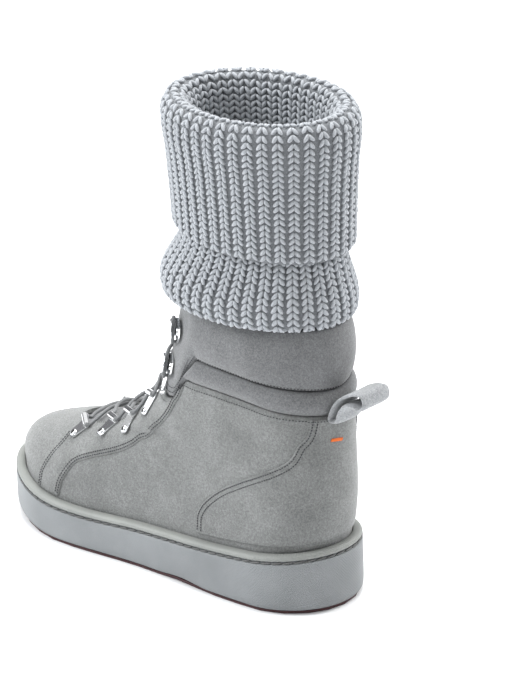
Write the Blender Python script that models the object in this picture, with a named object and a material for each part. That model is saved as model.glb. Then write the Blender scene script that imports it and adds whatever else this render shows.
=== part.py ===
"""Left high-top suede boot with a knitted shaft, built as separate closed solids.

The toe points along +X and the lateral side along +Y. The floor is Z = 0, and the origin is
on the floor under the middle of the sole. Lengths are in metres.
"""
import functools
import math

import bmesh
import bpy
import numpy as np

MM = 0.001

# Driving dimensions of the sole
SOLE_LENGTH = 275 * MM
BALL_WIDTH = 97 * MM
HEEL_HEIGHT = 42 * MM
LIP_WIDTH = 6.5 * MM
TREAD_THICKNESS = 2.2 * MM
ARCH_RISE = 1.5 * MM
TOE_SPRING = 8 * MM
GROOVE_DEPTH = 1.4 * MM
GROOVE_FOOT = 6.0 * MM
GROOVE_LOW = 5.2 * MM
GROOVE_HIGH = 4.4 * MM
GROOVE_TOP = 3.6 * MM
INSOLE_THICKNESS = 4 * MM

# Driving dimensions of the upper
COLLAR_HEIGHT = 186 * MM
COLLAR_LENGTH = 122 * MM
COLLAR_WIDTH = 80 * MM
COLLAR_CENTRE = -74 * MM
COLLAR_LEAN = -2 * MM
INSTEP_HEIGHT = 86 * MM
WALL = 2.4 * MM
COLLAR_WALL = 8.5 * MM
LINING = 2.1 * MM
THROAT_HALF_WIDTH = 24 * MM
OVERLAY = 1.1 * MM
OVERLAY_GAP = 0.82 * MM
SEAM_REACH = 3 * MM
BAND_SEAM_HEIGHT = 152 * MM
BAND_SEAM_DIP = 8 * MM
QUARTER_HEIGHT = 136 * MM
QUARTER_DIP = 9 * MM
TAB_FOOT_HEIGHT = 118 * MM
TAB_FOOT_ROUND = 4 * MM
BAND_PUFF = 4 * MM
BAND_GAP = 0.95 * MM

# Driving dimensions of the tongue, knit, loop, hooks and lace
TONGUE_THICKNESS = 3.2 * MM
TONGUE_GAP = 0.9 * MM
KNIT_THICKNESS = 4.6 * MM
KNIT_RISE = 133.5 * MM
LOOP_LENGTH = 29 * MM
LOOP_WIDTH = 25 * MM
LOOP_THICKNESS = 2.2 * MM
HOOK_LENGTH = 17 * MM
HOOK_WIDTH = 8 * MM
HOOK_PLATE = 1.2 * MM
HOOK_TUBE = 4.4 * MM
HOOK_LINE = 25.5 * MM
SPEED_HOOK_LINE = 33 * MM
SPEED_HOOK_LENGTH = 12 * MM
SPEED_HOOK_WIDTH = 16 * MM
SPEED_HOOK_HEIGHT = 5 * MM
LACE_DIAMETER = 2.4 * MM
LACE_SETBACK = 3.4 * MM
LACE_CLEARANCE = 1.3 * MM
LACE_TURN = 0.03
GAP = 0.3 * MM

LATERAL = 1
MEDIAL = -1

# Top of the sole's lip. Columns: station / SOLE_LENGTH, height / HEEL_HEIGHT
LIP_LINE = (
    (-0.50, 1.000),
    (-0.25, 0.845),
    (0.00, 0.726),
    (0.20, 0.680),
    (0.35, 0.735),
    (0.50, 0.905),
)

# Where the arch and the toe spring lie, as stations / SOLE_LENGTH
ARCH_BACK = -0.22
ARCH_FRONT = -0.04
SPRING_START = 0.26

# Floor of the cup in the sole. Columns: station / SOLE_LENGTH, height / HEEL_HEIGHT
CUP_FLOOR = (
    (-0.50, 0.570),
    (-0.30, 0.560),
    (-0.08, 0.430),
    (0.12, 0.310),
    (0.32, 0.310),
    (0.50, 0.450),
)

# Toe and instep seen from the side.
# Columns: station / SOLE_LENGTH, height / INSTEP_HEIGHT
FRONT_PROFILE = (
    (0.4764, 0.442),
    (0.4818, 0.512),
    (0.4709, 0.593),
    (0.4436, 0.669),
    (0.4000, 0.733),
    (0.3527, 0.785),
    (0.2982, 0.831),
    (0.2473, 0.878),
    (0.2000, 0.930),
    (0.1527, 1.000),
    (0.1091, 1.087),
    (0.0727, 1.174),
    (0.0436, 1.267),
    (0.0145, 1.390),
)

# Front of the shaft. Columns: distance / COLLAR_LENGTH before the collar's centre,
# height / COLLAR_HEIGHT
SHAFT_FRONT = (
    (0.590, 0.699),
    (0.549, 0.769),
    (0.516, 0.849),
    (0.500, 0.925),
    (0.500, 1.000),
)

# Back of the heel and shaft. Columns: distance / COLLAR_LENGTH behind the collar's centre,
# height / COLLAR_HEIGHT
BACK_PROFILE = (
    (0.467, 0.226),
    (0.484, 0.280),
    (0.496, 0.350),
    (0.500, 0.457),
    (0.496, 0.591),
    (0.492, 0.699),
    (0.489, 0.806),
    (0.493, 0.914),
    (0.500, 1.000),
)

# Half-widths of the upper on levels from the lip (0) to the collar's edge (1), at the back,
# the quarter points and the front of each level, and the rounded shares of its length.
# Columns: level, heel, rear, middle, fore, toe / BALL_WIDTH, heel round, toe round
FOOT_LEVELS = (
    (0.00, 0.366, 0.376, 0.361, 0.436, 0.440, 0.145, 0.25),
    (0.16, 0.371, 0.376, 0.366, 0.428, 0.443, 0.145, 0.27),
    (0.27, 0.366, 0.371, 0.371, 0.397, 0.440, 0.150, 0.33),
    (0.34, 0.366, 0.371, 0.371, 0.340, 0.400, 0.155, 0.37),
    (0.40, 0.361, 0.371, 0.376, 0.310, 0.270, 0.170, 0.36),
    (0.43, 0.361, 0.371, 0.378, 0.320, 0.235, 0.190, 0.29),
    (0.46, 0.358, 0.371, 0.380, 0.371, 0.340, 0.200, 0.36),
    (0.50, 0.356, 0.371, 0.381, 0.381, 0.385, 0.220, 0.38),
    (0.60, 0.356, 0.371, 0.381, 0.381, 0.371, 0.250, 0.36),
)

# The same for the shaft, with the half-widths as shares of COLLAR_WIDTH
SHAFT_LEVELS = (
    (0.70, 0.444, 0.462, 0.475, 0.475, 0.456, 0.33, 0.40),
    (0.85, 0.469, 0.481, 0.488, 0.488, 0.481, 0.42, 0.46),
    (1.00, 0.500, 0.500, 0.500, 0.500, 0.500, 0.50, 0.50),
)

# How far the foot bends to the side. Columns: station / SOLE_LENGTH, shift / BALL_WIDTH
CENTRE_LINE = (
    (-0.50, 0.000),
    (-0.20, 0.020),
    (0.00, 0.012),
    (0.17, -0.006),
    (0.42, -0.050),
    (0.50, -0.065),
)

# Columns round half of the upper: shares of the throat's half-width at the front, then
# shares of the way from the throat's edge to the back
THROAT_SHARE = 0.12
THROAT_COLUMNS = (0.0, 0.35, 0.7)
SIDE_COLUMNS = (
    0.0, 0.03, 0.06, 0.09, 0.125, 0.17, 0.22, 0.28, 0.34, 0.40, 0.46,
    0.52, 0.58, 0.64, 0.70, 0.76, 0.82, 0.87, 0.92, 0.96, 1.0,
)
TAB_COLUMNS = 6

# Throat's edge, as an arc from the front centre. Columns: level, arc / THROAT_HALF_WIDTH
THROAT_EDGE = (
    (0.00, 0.71),
    (0.30, 0.85),
    (0.40, 1.10),
    (0.45, 1.16),
    (0.50, 1.05),
    (0.60, 1.00),
    (0.80, 0.90),
    (1.00, 0.80),
)

# Columns from the front to the tongue's side edge
TONGUE_COLUMNS = 5

# Level rows of the upper below the throat, and where the throat starts
LOW_LEVELS = (0.0, 0.06, 0.13, 0.20, 0.27, 0.33, 0.375)
THROAT_LEVEL = 0.412
FRONT_PACE = 1.9
BACK_PACE = 0.75

# Seams on the side of the upper. Columns: station / SOLE_LENGTH, height / INSTEP_HEIGHT
EYESTAY_SEAM = (
    (0.2531, 0.349),
    (0.2455, 0.443),
    (0.2316, 0.540),
    (0.2138, 0.629),
    (0.1956, 0.680),
    (0.1535, 0.727),
    (0.1055, 0.792),
    (0.0542, 0.869),
    (0.0018, 0.987),
    (-0.0400, 1.122),
    (-0.0716, 1.227),
    (-0.0971, 1.328),
    (-0.1149, 1.458),
)
VAMP_SEAM = (
    (0.3345, 0.340),
    (0.3313, 0.414),
    (0.3218, 0.517),
    (0.3051, 0.612),
    (0.2887, 0.691),
    (0.2738, 0.755),
    (0.2673, 0.819),
    (0.2629, 0.852),
    (0.2560, 0.869),
)
COUNTER_EDGE = (
    (-0.167, 0.340),
    (-0.169, 0.570),
    (-0.193, 0.698),
    (-0.247, 0.849),
    (-0.302, 0.953),
    (-0.371, 1.070),
    (-0.407, 1.128),
    (-0.442, 1.216),
    (-0.462, 1.291),
    (-0.471, 1.381),
    (-0.474, 1.463),
)
COUNTER_NECK = 0.89

# Knitted shaft, from its end inside the collar to the hem of the turned-down cuff.
# Columns: half length / half COLLAR_LENGTH, half width / half COLLAR_WIDTH,
# height above the collar / KNIT_RISE, forward shift / COLLAR_LENGTH, rise / KNIT_RISE
KNIT_COLUMNS = 30
KNIT_PATH = (
    (0.700, 0.700, -0.105, -0.030, 0.000),
    (0.700, 0.700, -0.020, -0.030, 0.000),
    (0.725, 0.715, 0.014, -0.028, 0.000),
    (0.800, 0.785, 0.033, -0.018, 0.000),
    (0.910, 0.920, 0.033, 0.000, 0.000),
    (0.995, 1.050, 0.028, 0.026, 0.004),
    (1.045, 1.150, 0.034, 0.040, 0.010),
    (1.065, 1.205, 0.070, 0.044, 0.015),
    (1.055, 1.205, 0.125, 0.042, 0.015),
    (0.990, 1.105, 0.205, 0.030, 0.010),
    (0.910, 0.990, 0.290, 0.015, 0.000),
    (0.845, 0.920, 0.400, 0.004, 0.000),
    (0.830, 0.905, 0.640, 0.000, 0.000),
    (0.835, 0.915, 0.860, 0.000, 0.000),
    (0.860, 0.945, 0.940, 0.000, 0.000),
    (0.915, 1.025, 0.985, 0.000, 0.000),
    (0.985, 1.135, 0.990, 0.000, 0.000),
    (1.045, 1.225, 0.955, 0.000, 0.000),
    (1.055, 1.245, 0.890, 0.000, 0.004),
    (1.025, 1.200, 0.760, 0.000, 0.010),
    (0.995, 1.155, 0.560, 0.000, 0.022),
    (0.975, 1.125, 0.365, 0.000, 0.030),
)

# Pull loop seen from the side, as a closed path round its middle, from the seam.
# Columns: distance behind the heel / LOOP_LENGTH, height above the seam / LOOP_LENGTH,
# how much it follows the round of the heel
LOOP_PATH = (
    (0.105, -0.010, 1.00),
    (0.170, 0.300, 0.85),
    (0.330, 0.540, 0.55),
    (0.560, 0.700, 0.25),
    (0.780, 0.775, 0.08),
    (0.930, 0.770, 0.00),
    (0.985, 0.660, 0.00),
    (0.960, 0.530, 0.00),
    (0.840, 0.450, 0.05),
    (0.680, 0.490, 0.22),
    (0.520, 0.470, 0.50),
    (0.370, 0.290, 0.80),
    (0.235, 0.000, 1.00),
)
LOOP_ACROSS = (-0.5, -0.3, -0.1, 0.1, 0.3, 0.5)

# Lace hooks. Columns: distance of the rivet and of the tube before the collar's front / SOLE_LENGTH
LACE_HOOKS = (
    (0.2738, 0.2438),
    (0.1953, 0.1873),
    (0.1277, 0.1178),
    (0.0582, 0.0509),
    (-0.0027, 0.0053),
)
# Steps of a lace length from one hook to the next across the tongue
LACE_STEPS = (0.2, 0.5, 0.8)
# Heights of the speed hooks, as shares of the way from the tab's foot to the collar's edge
SPEED_HOOKS = (0.308, 0.685)


def smooth(stations, values, x):
    """Read a table at x along a smooth curve through its rows."""
    stations = np.asarray(stations, float)
    values = np.asarray(values, float)
    slopes = np.gradient(values, stations, axis=0)
    x = np.clip(x, stations[0], stations[-1])
    i = np.clip(np.searchsorted(stations, x) - 1, 0, len(stations) - 2)
    width = stations[i + 1] - stations[i]
    t = (x - stations[i]) / width
    return (
        (2 * t**3 - 3 * t**2 + 1) * values[i]
        + (t**3 - 2 * t**2 + t) * width * slopes[i]
        + (3 * t**2 - 2 * t**3) * values[i + 1]
        + (t**3 - t**2) * width * slopes[i + 1]
    )


def ease(x):
    x = min(max(x, 0.0), 1.0)
    return x * x * (3 - 2 * x)


def read_line(table, x, length, height):
    rows = np.asarray(table, float)
    return smooth(rows[:, 0] * length, rows[:, 1] * height, x)


def lip(x):
    return read_line(LIP_LINE, x, SOLE_LENGTH, HEEL_HEIGHT)


def cup_floor(x):
    return read_line(CUP_FLOOR, x, SOLE_LENGTH, HEEL_HEIGHT)


def centre_line(x):
    return read_line(CENTRE_LINE, x, SOLE_LENGTH, BALL_WIDTH)


def ground(x):
    """Underside of the sole: flat heel and ball, a low arch between, and the toe spring."""
    share = x / SOLE_LENGTH
    height = 0.0
    if ARCH_BACK < share < ARCH_FRONT:
        along = (share - ARCH_BACK) / (ARCH_FRONT - ARCH_BACK)
        height = ARCH_RISE * math.sin(math.pi * along) ** 2
    if share > SPRING_START:
        height = TOE_SPRING * ((share - SPRING_START) / (0.5 - SPRING_START)) ** 2
    return height


def profile_points():
    front = [(s * SOLE_LENGTH, h * INSTEP_HEIGHT) for s, h in FRONT_PROFILE]
    front += [(COLLAR_CENTRE + s * COLLAR_LENGTH, h * COLLAR_HEIGHT) for s, h in SHAFT_FRONT]
    back = [(COLLAR_CENTRE - s * COLLAR_LENGTH, h * COLLAR_HEIGHT) for s, h in BACK_PROFILE]
    return front, back


def smooth_curve(points, count=400):
    points = np.asarray(points, float)
    steps = np.linalg.norm(np.diff(points, axis=0), axis=1)
    along = np.concatenate([[0.0], np.cumsum(steps)])
    where = np.linspace(0, along[-1], count)
    return np.stack([smooth(along, points[:, k], where) for k in range(points.shape[1])], -1)


FRONT_POINTS, BACK_POINTS = profile_points()
FRONT_CURVE = smooth_curve(FRONT_POINTS)
BACK_CURVE = smooth_curve(BACK_POINTS)
FRONT_FOOT = FRONT_POINTS[0][0]
BACK_FOOT = BACK_POINTS[0][0]


def level_height(level, x):
    """Height of a level above the floor. Levels tilt forward over the instep."""
    share = (x - BACK_FOOT) / (FRONT_FOOT - BACK_FOOT)
    lip_back = lip(BACK_FOOT)
    lip_front = lip(FRONT_FOOT)
    back = lip_back + (COLLAR_HEIGHT - lip_back) * level**BACK_PACE
    front = lip_front + (COLLAR_HEIGHT - lip_front) * level**FRONT_PACE
    sag = lip(x) - (lip_back + (lip_front - lip_back) * share)
    return back + (front - back) * share + sag * (1 - level) ** 2


def profile_end(curve, level):
    """Station where a level meets the front or back profile."""
    over = curve[:, 1] - level_height(level, curve[:, 0])
    above = np.nonzero(over >= 0)[0]
    if len(above) == 0:
        return curve[-1, 0]
    i = above[0]
    if i == 0:
        return curve[0, 0]
    share = over[i - 1] / (over[i - 1] - over[i])
    return curve[i - 1, 0] + share * (curve[i, 0] - curve[i - 1, 0])


def level_table():
    foot = [(row[0],) + tuple(v * BALL_WIDTH for v in row[1:6]) + row[6:] for row in FOOT_LEVELS]
    shaft = [
        (row[0],) + tuple(v * COLLAR_WIDTH for v in row[1:6]) + row[6:] for row in SHAFT_LEVELS
    ]
    return np.asarray(foot + shaft, float)


LEVEL_TABLE = level_table()
HALF_OUTLINES = {}


def half_outline(side, level):
    """Points of half a level's outline, from the front to the back, with their arc lengths."""
    key = (side, round(level, 6))
    if key in HALF_OUTLINES:
        return HALF_OUTLINES[key]
    row = np.array([smooth(LEVEL_TABLE[:, 0], LEVEL_TABLE[:, k], level) for k in range(1, 8)])
    widths, heel_round, toe_round = row[:5], row[5], row[6]
    front = profile_end(FRONT_CURVE, level)
    back = profile_end(BACK_CURVE, level)
    along = (1 + np.cos(np.linspace(0, math.pi, 121))) / 2
    x = back + (front - back) * along
    half = smooth((0, 0.25, 0.5, 0.75, 1), widths, along)
    heel = np.clip(along / heel_round, 0, 1)
    toe = np.clip((1 - along) / toe_round, 0, 1)
    half = half * np.sqrt(2 * heel - heel**2) * np.sqrt(2 * toe - toe**2)
    fade = (1 - level) ** 1.5
    middle = centre_line(x) * fade + COLLAR_LEAN * (1 - fade)
    points = np.stack([x, middle + side * half, level_height(level, x)], -1)
    steps = np.linalg.norm(np.diff(points, axis=0), axis=1)
    arcs = np.concatenate([[0.0], np.cumsum(steps)])
    HALF_OUTLINES[key] = (points, arcs)
    return HALF_OUTLINES[key]


def throat_edge(level):
    return read_line(THROAT_EDGE, level, 1.0, THROAT_HALF_WIDTH)


def arc_of_column(column, level, arcs):
    """Arc length from the front centre: the throat's edge keeps one column."""
    edge = throat_edge(level)
    if column <= THROAT_SHARE:
        return edge * column / THROAT_SHARE
    share = (column - THROAT_SHARE) / (1 - THROAT_SHARE)
    return edge + (arcs[-1] - edge) * share


def column_of_arc(arc, level, arcs):
    edge = throat_edge(level)
    if arc <= edge:
        return THROAT_SHARE * arc / edge
    return THROAT_SHARE + (1 - THROAT_SHARE) * (arc - edge) / (arcs[-1] - edge)


def surface(side, column, level):
    """A point of the upper's outer form."""
    if column < 0:
        side, column = -side, -column
    if column > 1:
        side, column = -side, 2 - column
    points, arcs = half_outline(side, level)
    arc = arc_of_column(column, level, arcs)
    return np.array([np.interp(arc, arcs, points[:, k]) for k in range(3)])


def normal(side, column, level):
    dc = 0.012
    dl = 0.012
    low = max(level - dl, 0.0)
    high = min(level + dl, 1.0)
    across = surface(side, column + dc, level) - surface(side, column - dc, level)
    up = surface(side, column, high) - surface(side, column, low)
    vector = np.cross(across, up) * side
    return vector / np.linalg.norm(vector)


def skin(side, column, level, out=0.0):
    """A point at a distance outside (+) or inside (-) the upper's outer form."""
    return surface(side, column, level) + normal(side, column, level) * out


def foot_print(side, column, out, height):
    """A point beside the lip line, moved out level, at a height that follows the station."""
    point = surface(side, column, 0.0)
    way = normal(side, column, 0.0) * (1, 1, 0)
    point = point + way / np.linalg.norm(way) * out
    return np.array([point[0], point[1], height(point[0])])


def level_at_height(side, column, height):
    levels = np.linspace(0, 1, 41)
    heights = np.array([surface(side, column, level)[2] for level in levels])
    return float(np.interp(height, heights, levels))


def side_column(share):
    return THROAT_SHARE + (1 - THROAT_SHARE) * share


def half_columns():
    throat = [THROAT_SHARE * share for share in THROAT_COLUMNS]
    return throat + [side_column(share) for share in SIDE_COLUMNS]


COLUMNS = half_columns()
ROUND = [(LATERAL, c) for c in COLUMNS] + [(MEDIAL, c) for c in reversed(COLUMNS[1:-1])]
TAB_EDGE = side_column(SIDE_COLUMNS[TAB_COLUMNS])


def back_share(column):
    """How far a column lies behind the tabs, as a share of the way to the back."""
    return max(column - TAB_EDGE, 0.0) / (1 - TAB_EDGE)


def seam_height(column):
    """Height of the seam between the padded bands, which falls towards the back."""
    return BAND_SEAM_HEIGHT - BAND_SEAM_DIP * back_share(column) ** 1.5


def step_height(column):
    """Height where the quarter ends and the padded bands begin: it drops under the tabs."""
    share = (column - THROAT_SHARE) / (TAB_EDGE - THROAT_SHARE)
    drop = 1 - ease((share - 0.72) / 0.28)
    foot = TAB_FOOT_HEIGHT + TAB_FOOT_ROUND * (2 * min(max(share, 0.0), 0.9) / 0.9 - 1) ** 2
    side = QUARTER_HEIGHT - QUARTER_DIP * back_share(column) ** 2.2
    return side + (foot - side) * drop


BOTH_SIDES = [(side, column) for side in (LATERAL, MEDIAL) for column in COLUMNS]
STEP_LEVELS = {(s, c): level_at_height(s, c, step_height(c)) for s, c in BOTH_SIDES}
SEAM_LEVELS = {(s, c): level_at_height(s, c, seam_height(c)) for s, c in BOTH_SIDES}


def wall_depth(side, column, level):
    """Thickness of the upper: thin over the foot, padded towards the collar."""
    step = STEP_LEVELS[(side, column)]
    return WALL + (COLLAR_WALL - WALL) * ease((level - step + 0.14) / 0.13)


def new_object(name, bm, colour, roughness, metallic=0.0):
    bmesh.ops.recalc_face_normals(bm, faces=bm.faces)
    if bm.calc_volume(signed=True) < 0:
        bmesh.ops.reverse_faces(bm, faces=bm.faces)
    mesh = bpy.data.meshes.new(name)
    bm.to_mesh(mesh)
    bm.free()
    mesh.shade_smooth()
    mesh.set_sharp_from_angle(angle=math.radians(40))
    obj = bpy.data.objects.new(name, mesh)
    bpy.context.collection.objects.link(obj)
    obj.data.materials.append(material(name, colour, roughness, metallic))
    return obj


def material(name, colour, roughness, metallic):
    made = bpy.data.materials.new(name)
    made.use_nodes = True
    shader = made.node_tree.nodes["Principled BSDF"]
    shader.inputs["Base Color"].default_value = (*colour, 1)
    shader.inputs["Roughness"].default_value = roughness
    shader.inputs["Metallic"].default_value = metallic
    return made


SUEDE = (0.24, 0.25, 0.25)
SUEDE_DARK = (0.17, 0.175, 0.185)
RUBBER = (0.33, 0.36, 0.38)
TREAD_BROWN = (0.05, 0.02, 0.02)
KNIT_GREY = (0.55, 0.57, 0.60)
STEEL = (0.75, 0.75, 0.75)
CORD = (0.60, 0.60, 0.60)


def slab(name, outer, inner, wrap, keep, look):
    """A closed wall between two grids of points, with open cells left out."""
    rows = len(outer)
    columns = len(outer[0])
    bm = bmesh.new()
    face_grid = [[bm.verts.new(p) for p in row] for row in outer]
    back_grid = [[bm.verts.new(p) for p in row] for row in inner]
    last = columns if wrap else columns - 1

    def kept(r, c):
        if not wrap and not 0 <= c < last:
            return False
        return 0 <= r < rows - 1 and keep(r, c % columns)

    for r in range(rows - 1):
        for c in range(last):
            if not kept(r, c):
                continue
            d = (c + 1) % columns
            for grid in (face_grid, back_grid):
                bm.faces.new((grid[r][c], grid[r][d], grid[r + 1][d], grid[r + 1][c]))
            sides = (
                (kept(r - 1, c), (r, c), (r, d)),
                (kept(r + 1, c), (r + 1, c), (r + 1, d)),
                (kept(r, c - 1), (r, c), (r + 1, c)),
                (kept(r, c + 1), (r, d), (r + 1, d)),
            )
            for inside, a, b in sides:
                if not inside:
                    bm.faces.new(
                        (
                            face_grid[a[0]][a[1]],
                            face_grid[b[0]][b[1]],
                            back_grid[b[0]][b[1]],
                            back_grid[a[0]][a[1]],
                        )
                    )
    loose = [v for v in bm.verts if not v.link_faces]
    bmesh.ops.delete(bm, geom=loose, context="VERTS")
    bmesh.ops.remove_doubles(bm, verts=bm.verts, dist=1e-7)
    return new_object(name, bm, *look)


def always(r, c):
    return True


def stack(name, rings, look):
    """A solid of stacked rings round the foot. Strips across the foot close both ends."""
    bm = bmesh.new()
    grid = [[bm.verts.new(p) for p in ring] for ring in rings]
    count = len(ROUND)
    for low, high in zip(grid, grid[1:]):
        for c in range(count):
            d = (c + 1) % count
            bm.faces.new((low[c], low[d], high[d], high[c]))
    for ring in (grid[0], grid[-1]):
        for i in range(len(COLUMNS) - 1):
            a, b = ring[i], ring[i + 1]
            c, d = ring[-(i + 1) % count], ring[-i % count]
            corners = [a, b, c, d]
            bm.faces.new(list(dict.fromkeys(corners)))
    return new_object(name, bm, *look)


def lip_ring(out, height):
    return [foot_print(side, column, out, height) for side, column in ROUND]


def make_tread():
    inset = LIP_WIDTH - 1.6 * MM
    rings = [lip_ring(inset - 1.0 * MM, ground), lip_ring(inset, lambda x: ground(x) + TREAD_THICKNESS)]
    return stack("tread", rings, (TREAD_BROWN, 0.7))


def make_cupsole():
    """Rubber cup: side wall, stitch groove under the lip, lip, inner wall and floor."""
    base = TREAD_THICKNESS + GAP
    edge = LIP_WIDTH
    rows = (
        (edge - 2.2 * MM, lambda x: ground(x) + base),
        (edge - 0.5 * MM, lambda x: ground(x) + base + 2.2 * MM),
        (edge, lambda x: (ground(x) + base) * 0.6 + lip(x) * 0.4),
        (edge, lambda x: lip(x) - GROOVE_FOOT),
        (edge - GROOVE_DEPTH, lambda x: lip(x) - GROOVE_LOW),
        (edge - GROOVE_DEPTH, lambda x: lip(x) - GROOVE_HIGH),
        (edge - 0.4 * MM, lambda x: lip(x) - GROOVE_TOP),
        (edge - 1.0 * MM, lambda x: lip(x) - 1.4 * MM),
        (edge - 2.6 * MM, lambda x: lip(x) - 0.3 * MM),
        (GAP, lip),
        (GAP - 1.0 * MM, cup_floor),
    )
    rings = [lip_ring(out, height) for out, height in rows]
    return stack("cupsole", rings, (RUBBER, 0.55))


def make_insole():
    inset = -1.0 * MM - WALL - GAP
    rings = [
        lip_ring(inset, lambda x: cup_floor(x) + GAP),
        lip_ring(inset, lambda x: cup_floor(x) + GAP + INSOLE_THICKNESS),
    ]
    return stack("insole", rings, (SUEDE, 0.9))


def upper_levels(side, column):
    """Levels of the upper's rows: toe and lip, sides up to the step, step, bands' backing."""
    step = STEP_LEVELS[(side, column)]
    sides = [THROAT_LEVEL + (step - THROAT_LEVEL) * k / 4 for k in range(5)]
    return list(LOW_LEVELS) + sides + backing_levels(side, column)


def backing_levels(side, column):
    """Rows of the wall behind the padded bands."""
    low = STEP_LEVELS[(side, column)] + 0.004
    seam = SEAM_LEVELS[(side, column)]
    return [low, (low + seam) / 2, seam, (seam + 1) / 2, 1.0]


UPPER_LEVELS = {key: upper_levels(*key) for key in BOTH_SIDES}
STEP_ROW = len(LOW_LEVELS) + 4


def on_backing(side, column, level, out):
    """A point in front of the wall's flat faces behind the bands."""
    levels = backing_levels(side, column)
    points = np.array([skin(side, column, node, out) for node in levels])
    return np.array([np.interp(level, levels, points[:, k]) for k in range(3)])


def make_upper():
    """Vamp and quarters in one wall, stepped in where the padded bands lie."""
    step_row = STEP_ROW + 1
    band_depth = COLLAR_WALL - LINING
    outer = [lip_ring(-1.0 * MM, lambda x: cup_floor(x) + GAP)]
    inner = [lip_ring(-1.0 * MM - WALL, lambda x: cup_floor(x) + GAP)]
    for r in range(len(UPPER_LEVELS[ROUND[0]])):
        outer_row = []
        inner_row = []
        for side, column in ROUND:
            level = UPPER_LEVELS[(side, column)][r]
            sunk = -band_depth if r >= step_row else 0.0
            outer_row.append(skin(side, column, level, sunk))
            inner_row.append(skin(side, column, level, -wall_depth(side, column, level)))
        outer.append(outer_row)
        inner.append(inner_row)
    throat_row = len(LOW_LEVELS) + 1
    throat_cells = len(THROAT_COLUMNS)

    def keep(r, c):
        in_throat = c < throat_cells or c >= len(ROUND) - throat_cells
        return r < throat_row or not in_throat

    return slab("upper", outer, inner, True, keep, (SUEDE, 0.9))


def round_back(first):
    """Column keys from a column on the lateral side round the back to its medial twin."""
    lateral = [(LATERAL, c) for c in COLUMNS if c >= first - 1e-9]
    medial = [(MEDIAL, c) for c in reversed(COLUMNS[:-1]) if c >= first - 1e-9]
    return lateral + medial


def make_band(name, keys, low, high, rows, look):
    """A padded band: flat behind, puffed in front and tucked in at its edges."""
    back = -(COLLAR_WALL - LINING) + BAND_GAP
    outer = []
    inner = []
    for r in range(rows + 1):
        share = r / rows
        outer_row = []
        inner_row = []
        for side, column in keys:
            level = low[(side, column)] + (high[(side, column)] - low[(side, column)]) * share
            puff = math.sin(math.pi * (0.06 + 0.88 * share))
            out = -3.0 * MM + (BAND_PUFF + 1.5 * MM) * puff**0.6
            outer_row.append(skin(side, column, level, out))
            inner_row.append(on_backing(side, column, level, back))
        outer.append(outer_row)
        inner.append(inner_row)
    return slab(name, outer, inner, False, always, look)


def make_bands():
    clear = 0.008
    lower_keys = round_back(TAB_EDGE)
    upper_keys = round_back(THROAT_SHARE)
    low = {key: STEP_LEVELS[key] + 2 * clear for key in lower_keys}
    seam = {key: SEAM_LEVELS[key] - clear / 2 for key in lower_keys}
    make_band("collar_lower_band", lower_keys, low, seam, 4, (SUEDE_DARK, 0.9))
    foot = {}
    for key in upper_keys:
        tab = key[1] < TAB_EDGE - 1e-9
        foot[key] = (STEP_LEVELS[key] + 2 * clear) if tab else (SEAM_LEVELS[key] + clear / 2)
    top = {key: 1.0 for key in upper_keys}
    make_band("collar_upper_band", upper_keys, foot, top, 5, (SUEDE_DARK, 0.9))


@functools.lru_cache(maxsize=None)
def grid_point(side, column_index, row, out):
    column = COLUMNS[column_index]
    return skin(side, column, UPPER_LEVELS[(side, column)][row], out)


def row_point(side, row, column, out):
    """A point over the upper's own facets. Rows and columns may lie between its lines."""
    i = min(max(int(np.searchsorted(COLUMNS, column)), 1), len(COLUMNS) - 1)
    share = (column - COLUMNS[i - 1]) / (COLUMNS[i] - COLUMNS[i - 1])
    low = min(int(row), len(UPPER_LEVELS[(side, 0.0)]) - 2)
    ends = []
    for near in (i - 1, i):
        first = grid_point(side, near, low, out)
        second = grid_point(side, near, low + 1, out)
        ends.append(first + (second - first) * (row - low))
    return ends[0] + (ends[1] - ends[0]) * share


def column_on_line(side, row, line):
    """Column where a row of the upper crosses a seam, or 0 where it misses the seam's stations."""
    line = np.asarray(line, float)
    order = np.argsort(line[:, 0])
    columns = np.linspace(0, 1, 81)
    points = np.array([row_point(side, row, c, 0.0) for c in columns])
    over = points[:, 2] - np.interp(points[:, 0], line[order, 0], line[order, 1])
    crossing = np.nonzero((over[:-1] > 0) & (over[1:] <= 0))[0]
    if len(crossing) == 0:
        return 0.0
    i = crossing[-1]
    if points[i, 0] < line[:, 0].min() - SEAM_REACH:
        return 0.0
    return float(np.interp(0, [over[i + 1], over[i]], [columns[i + 1], columns[i]]))


def seam_line(table):
    return [(x * SOLE_LENGTH, z * INSTEP_HEIGHT) for x, z in table]


def overlay(name, rows, spans, columns):
    """An overlay just over the upper. Its columns are held between each row's two edges."""
    outer = []
    inner = []
    for row, (start, end) in zip(rows, spans):
        keys = [(side, min(max(c, start[side]), end[side])) for side, c in columns]
        outer.append([row_point(side, row, c, OVERLAY_GAP + OVERLAY) for side, c in keys])
        inner.append([row_point(side, row, c, OVERLAY_GAP) for side, c in keys])
    return slab(name, outer, inner, False, always, (SUEDE, 0.9))


def make_eyestay(name, side):
    """Overlay along the throat, from the lip between its two seams up to the tab."""
    seam = seam_line(EYESTAY_SEAM)
    front = seam_line(VAMP_SEAM)
    throat_row = len(LOW_LEVELS)
    rows = [0.2, 1, 1.5, 2, 2.5, 3, 3.5, 4, 4.5, 5, 5.5, 6, 6.5]
    rows += [throat_row + 0.5 * k for k in range(8)] + [STEP_ROW - 0.3]
    spans = []
    for row in rows:
        start = THROAT_SHARE
        if row < throat_row:
            start = max(column_on_line(side, row, front), THROAT_SHARE * row / throat_row)
        end = column_on_line(side, row, seam) or TAB_EDGE
        spans.append(({side: start}, {side: max(end, start + 0.01)}))
    last = max(end[side] for _, end in spans)
    columns = [(side, c) for c in COLUMNS if THROAT_SHARE <= c < last] + [(side, last)]
    return overlay(name, rows, spans, columns)


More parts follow.
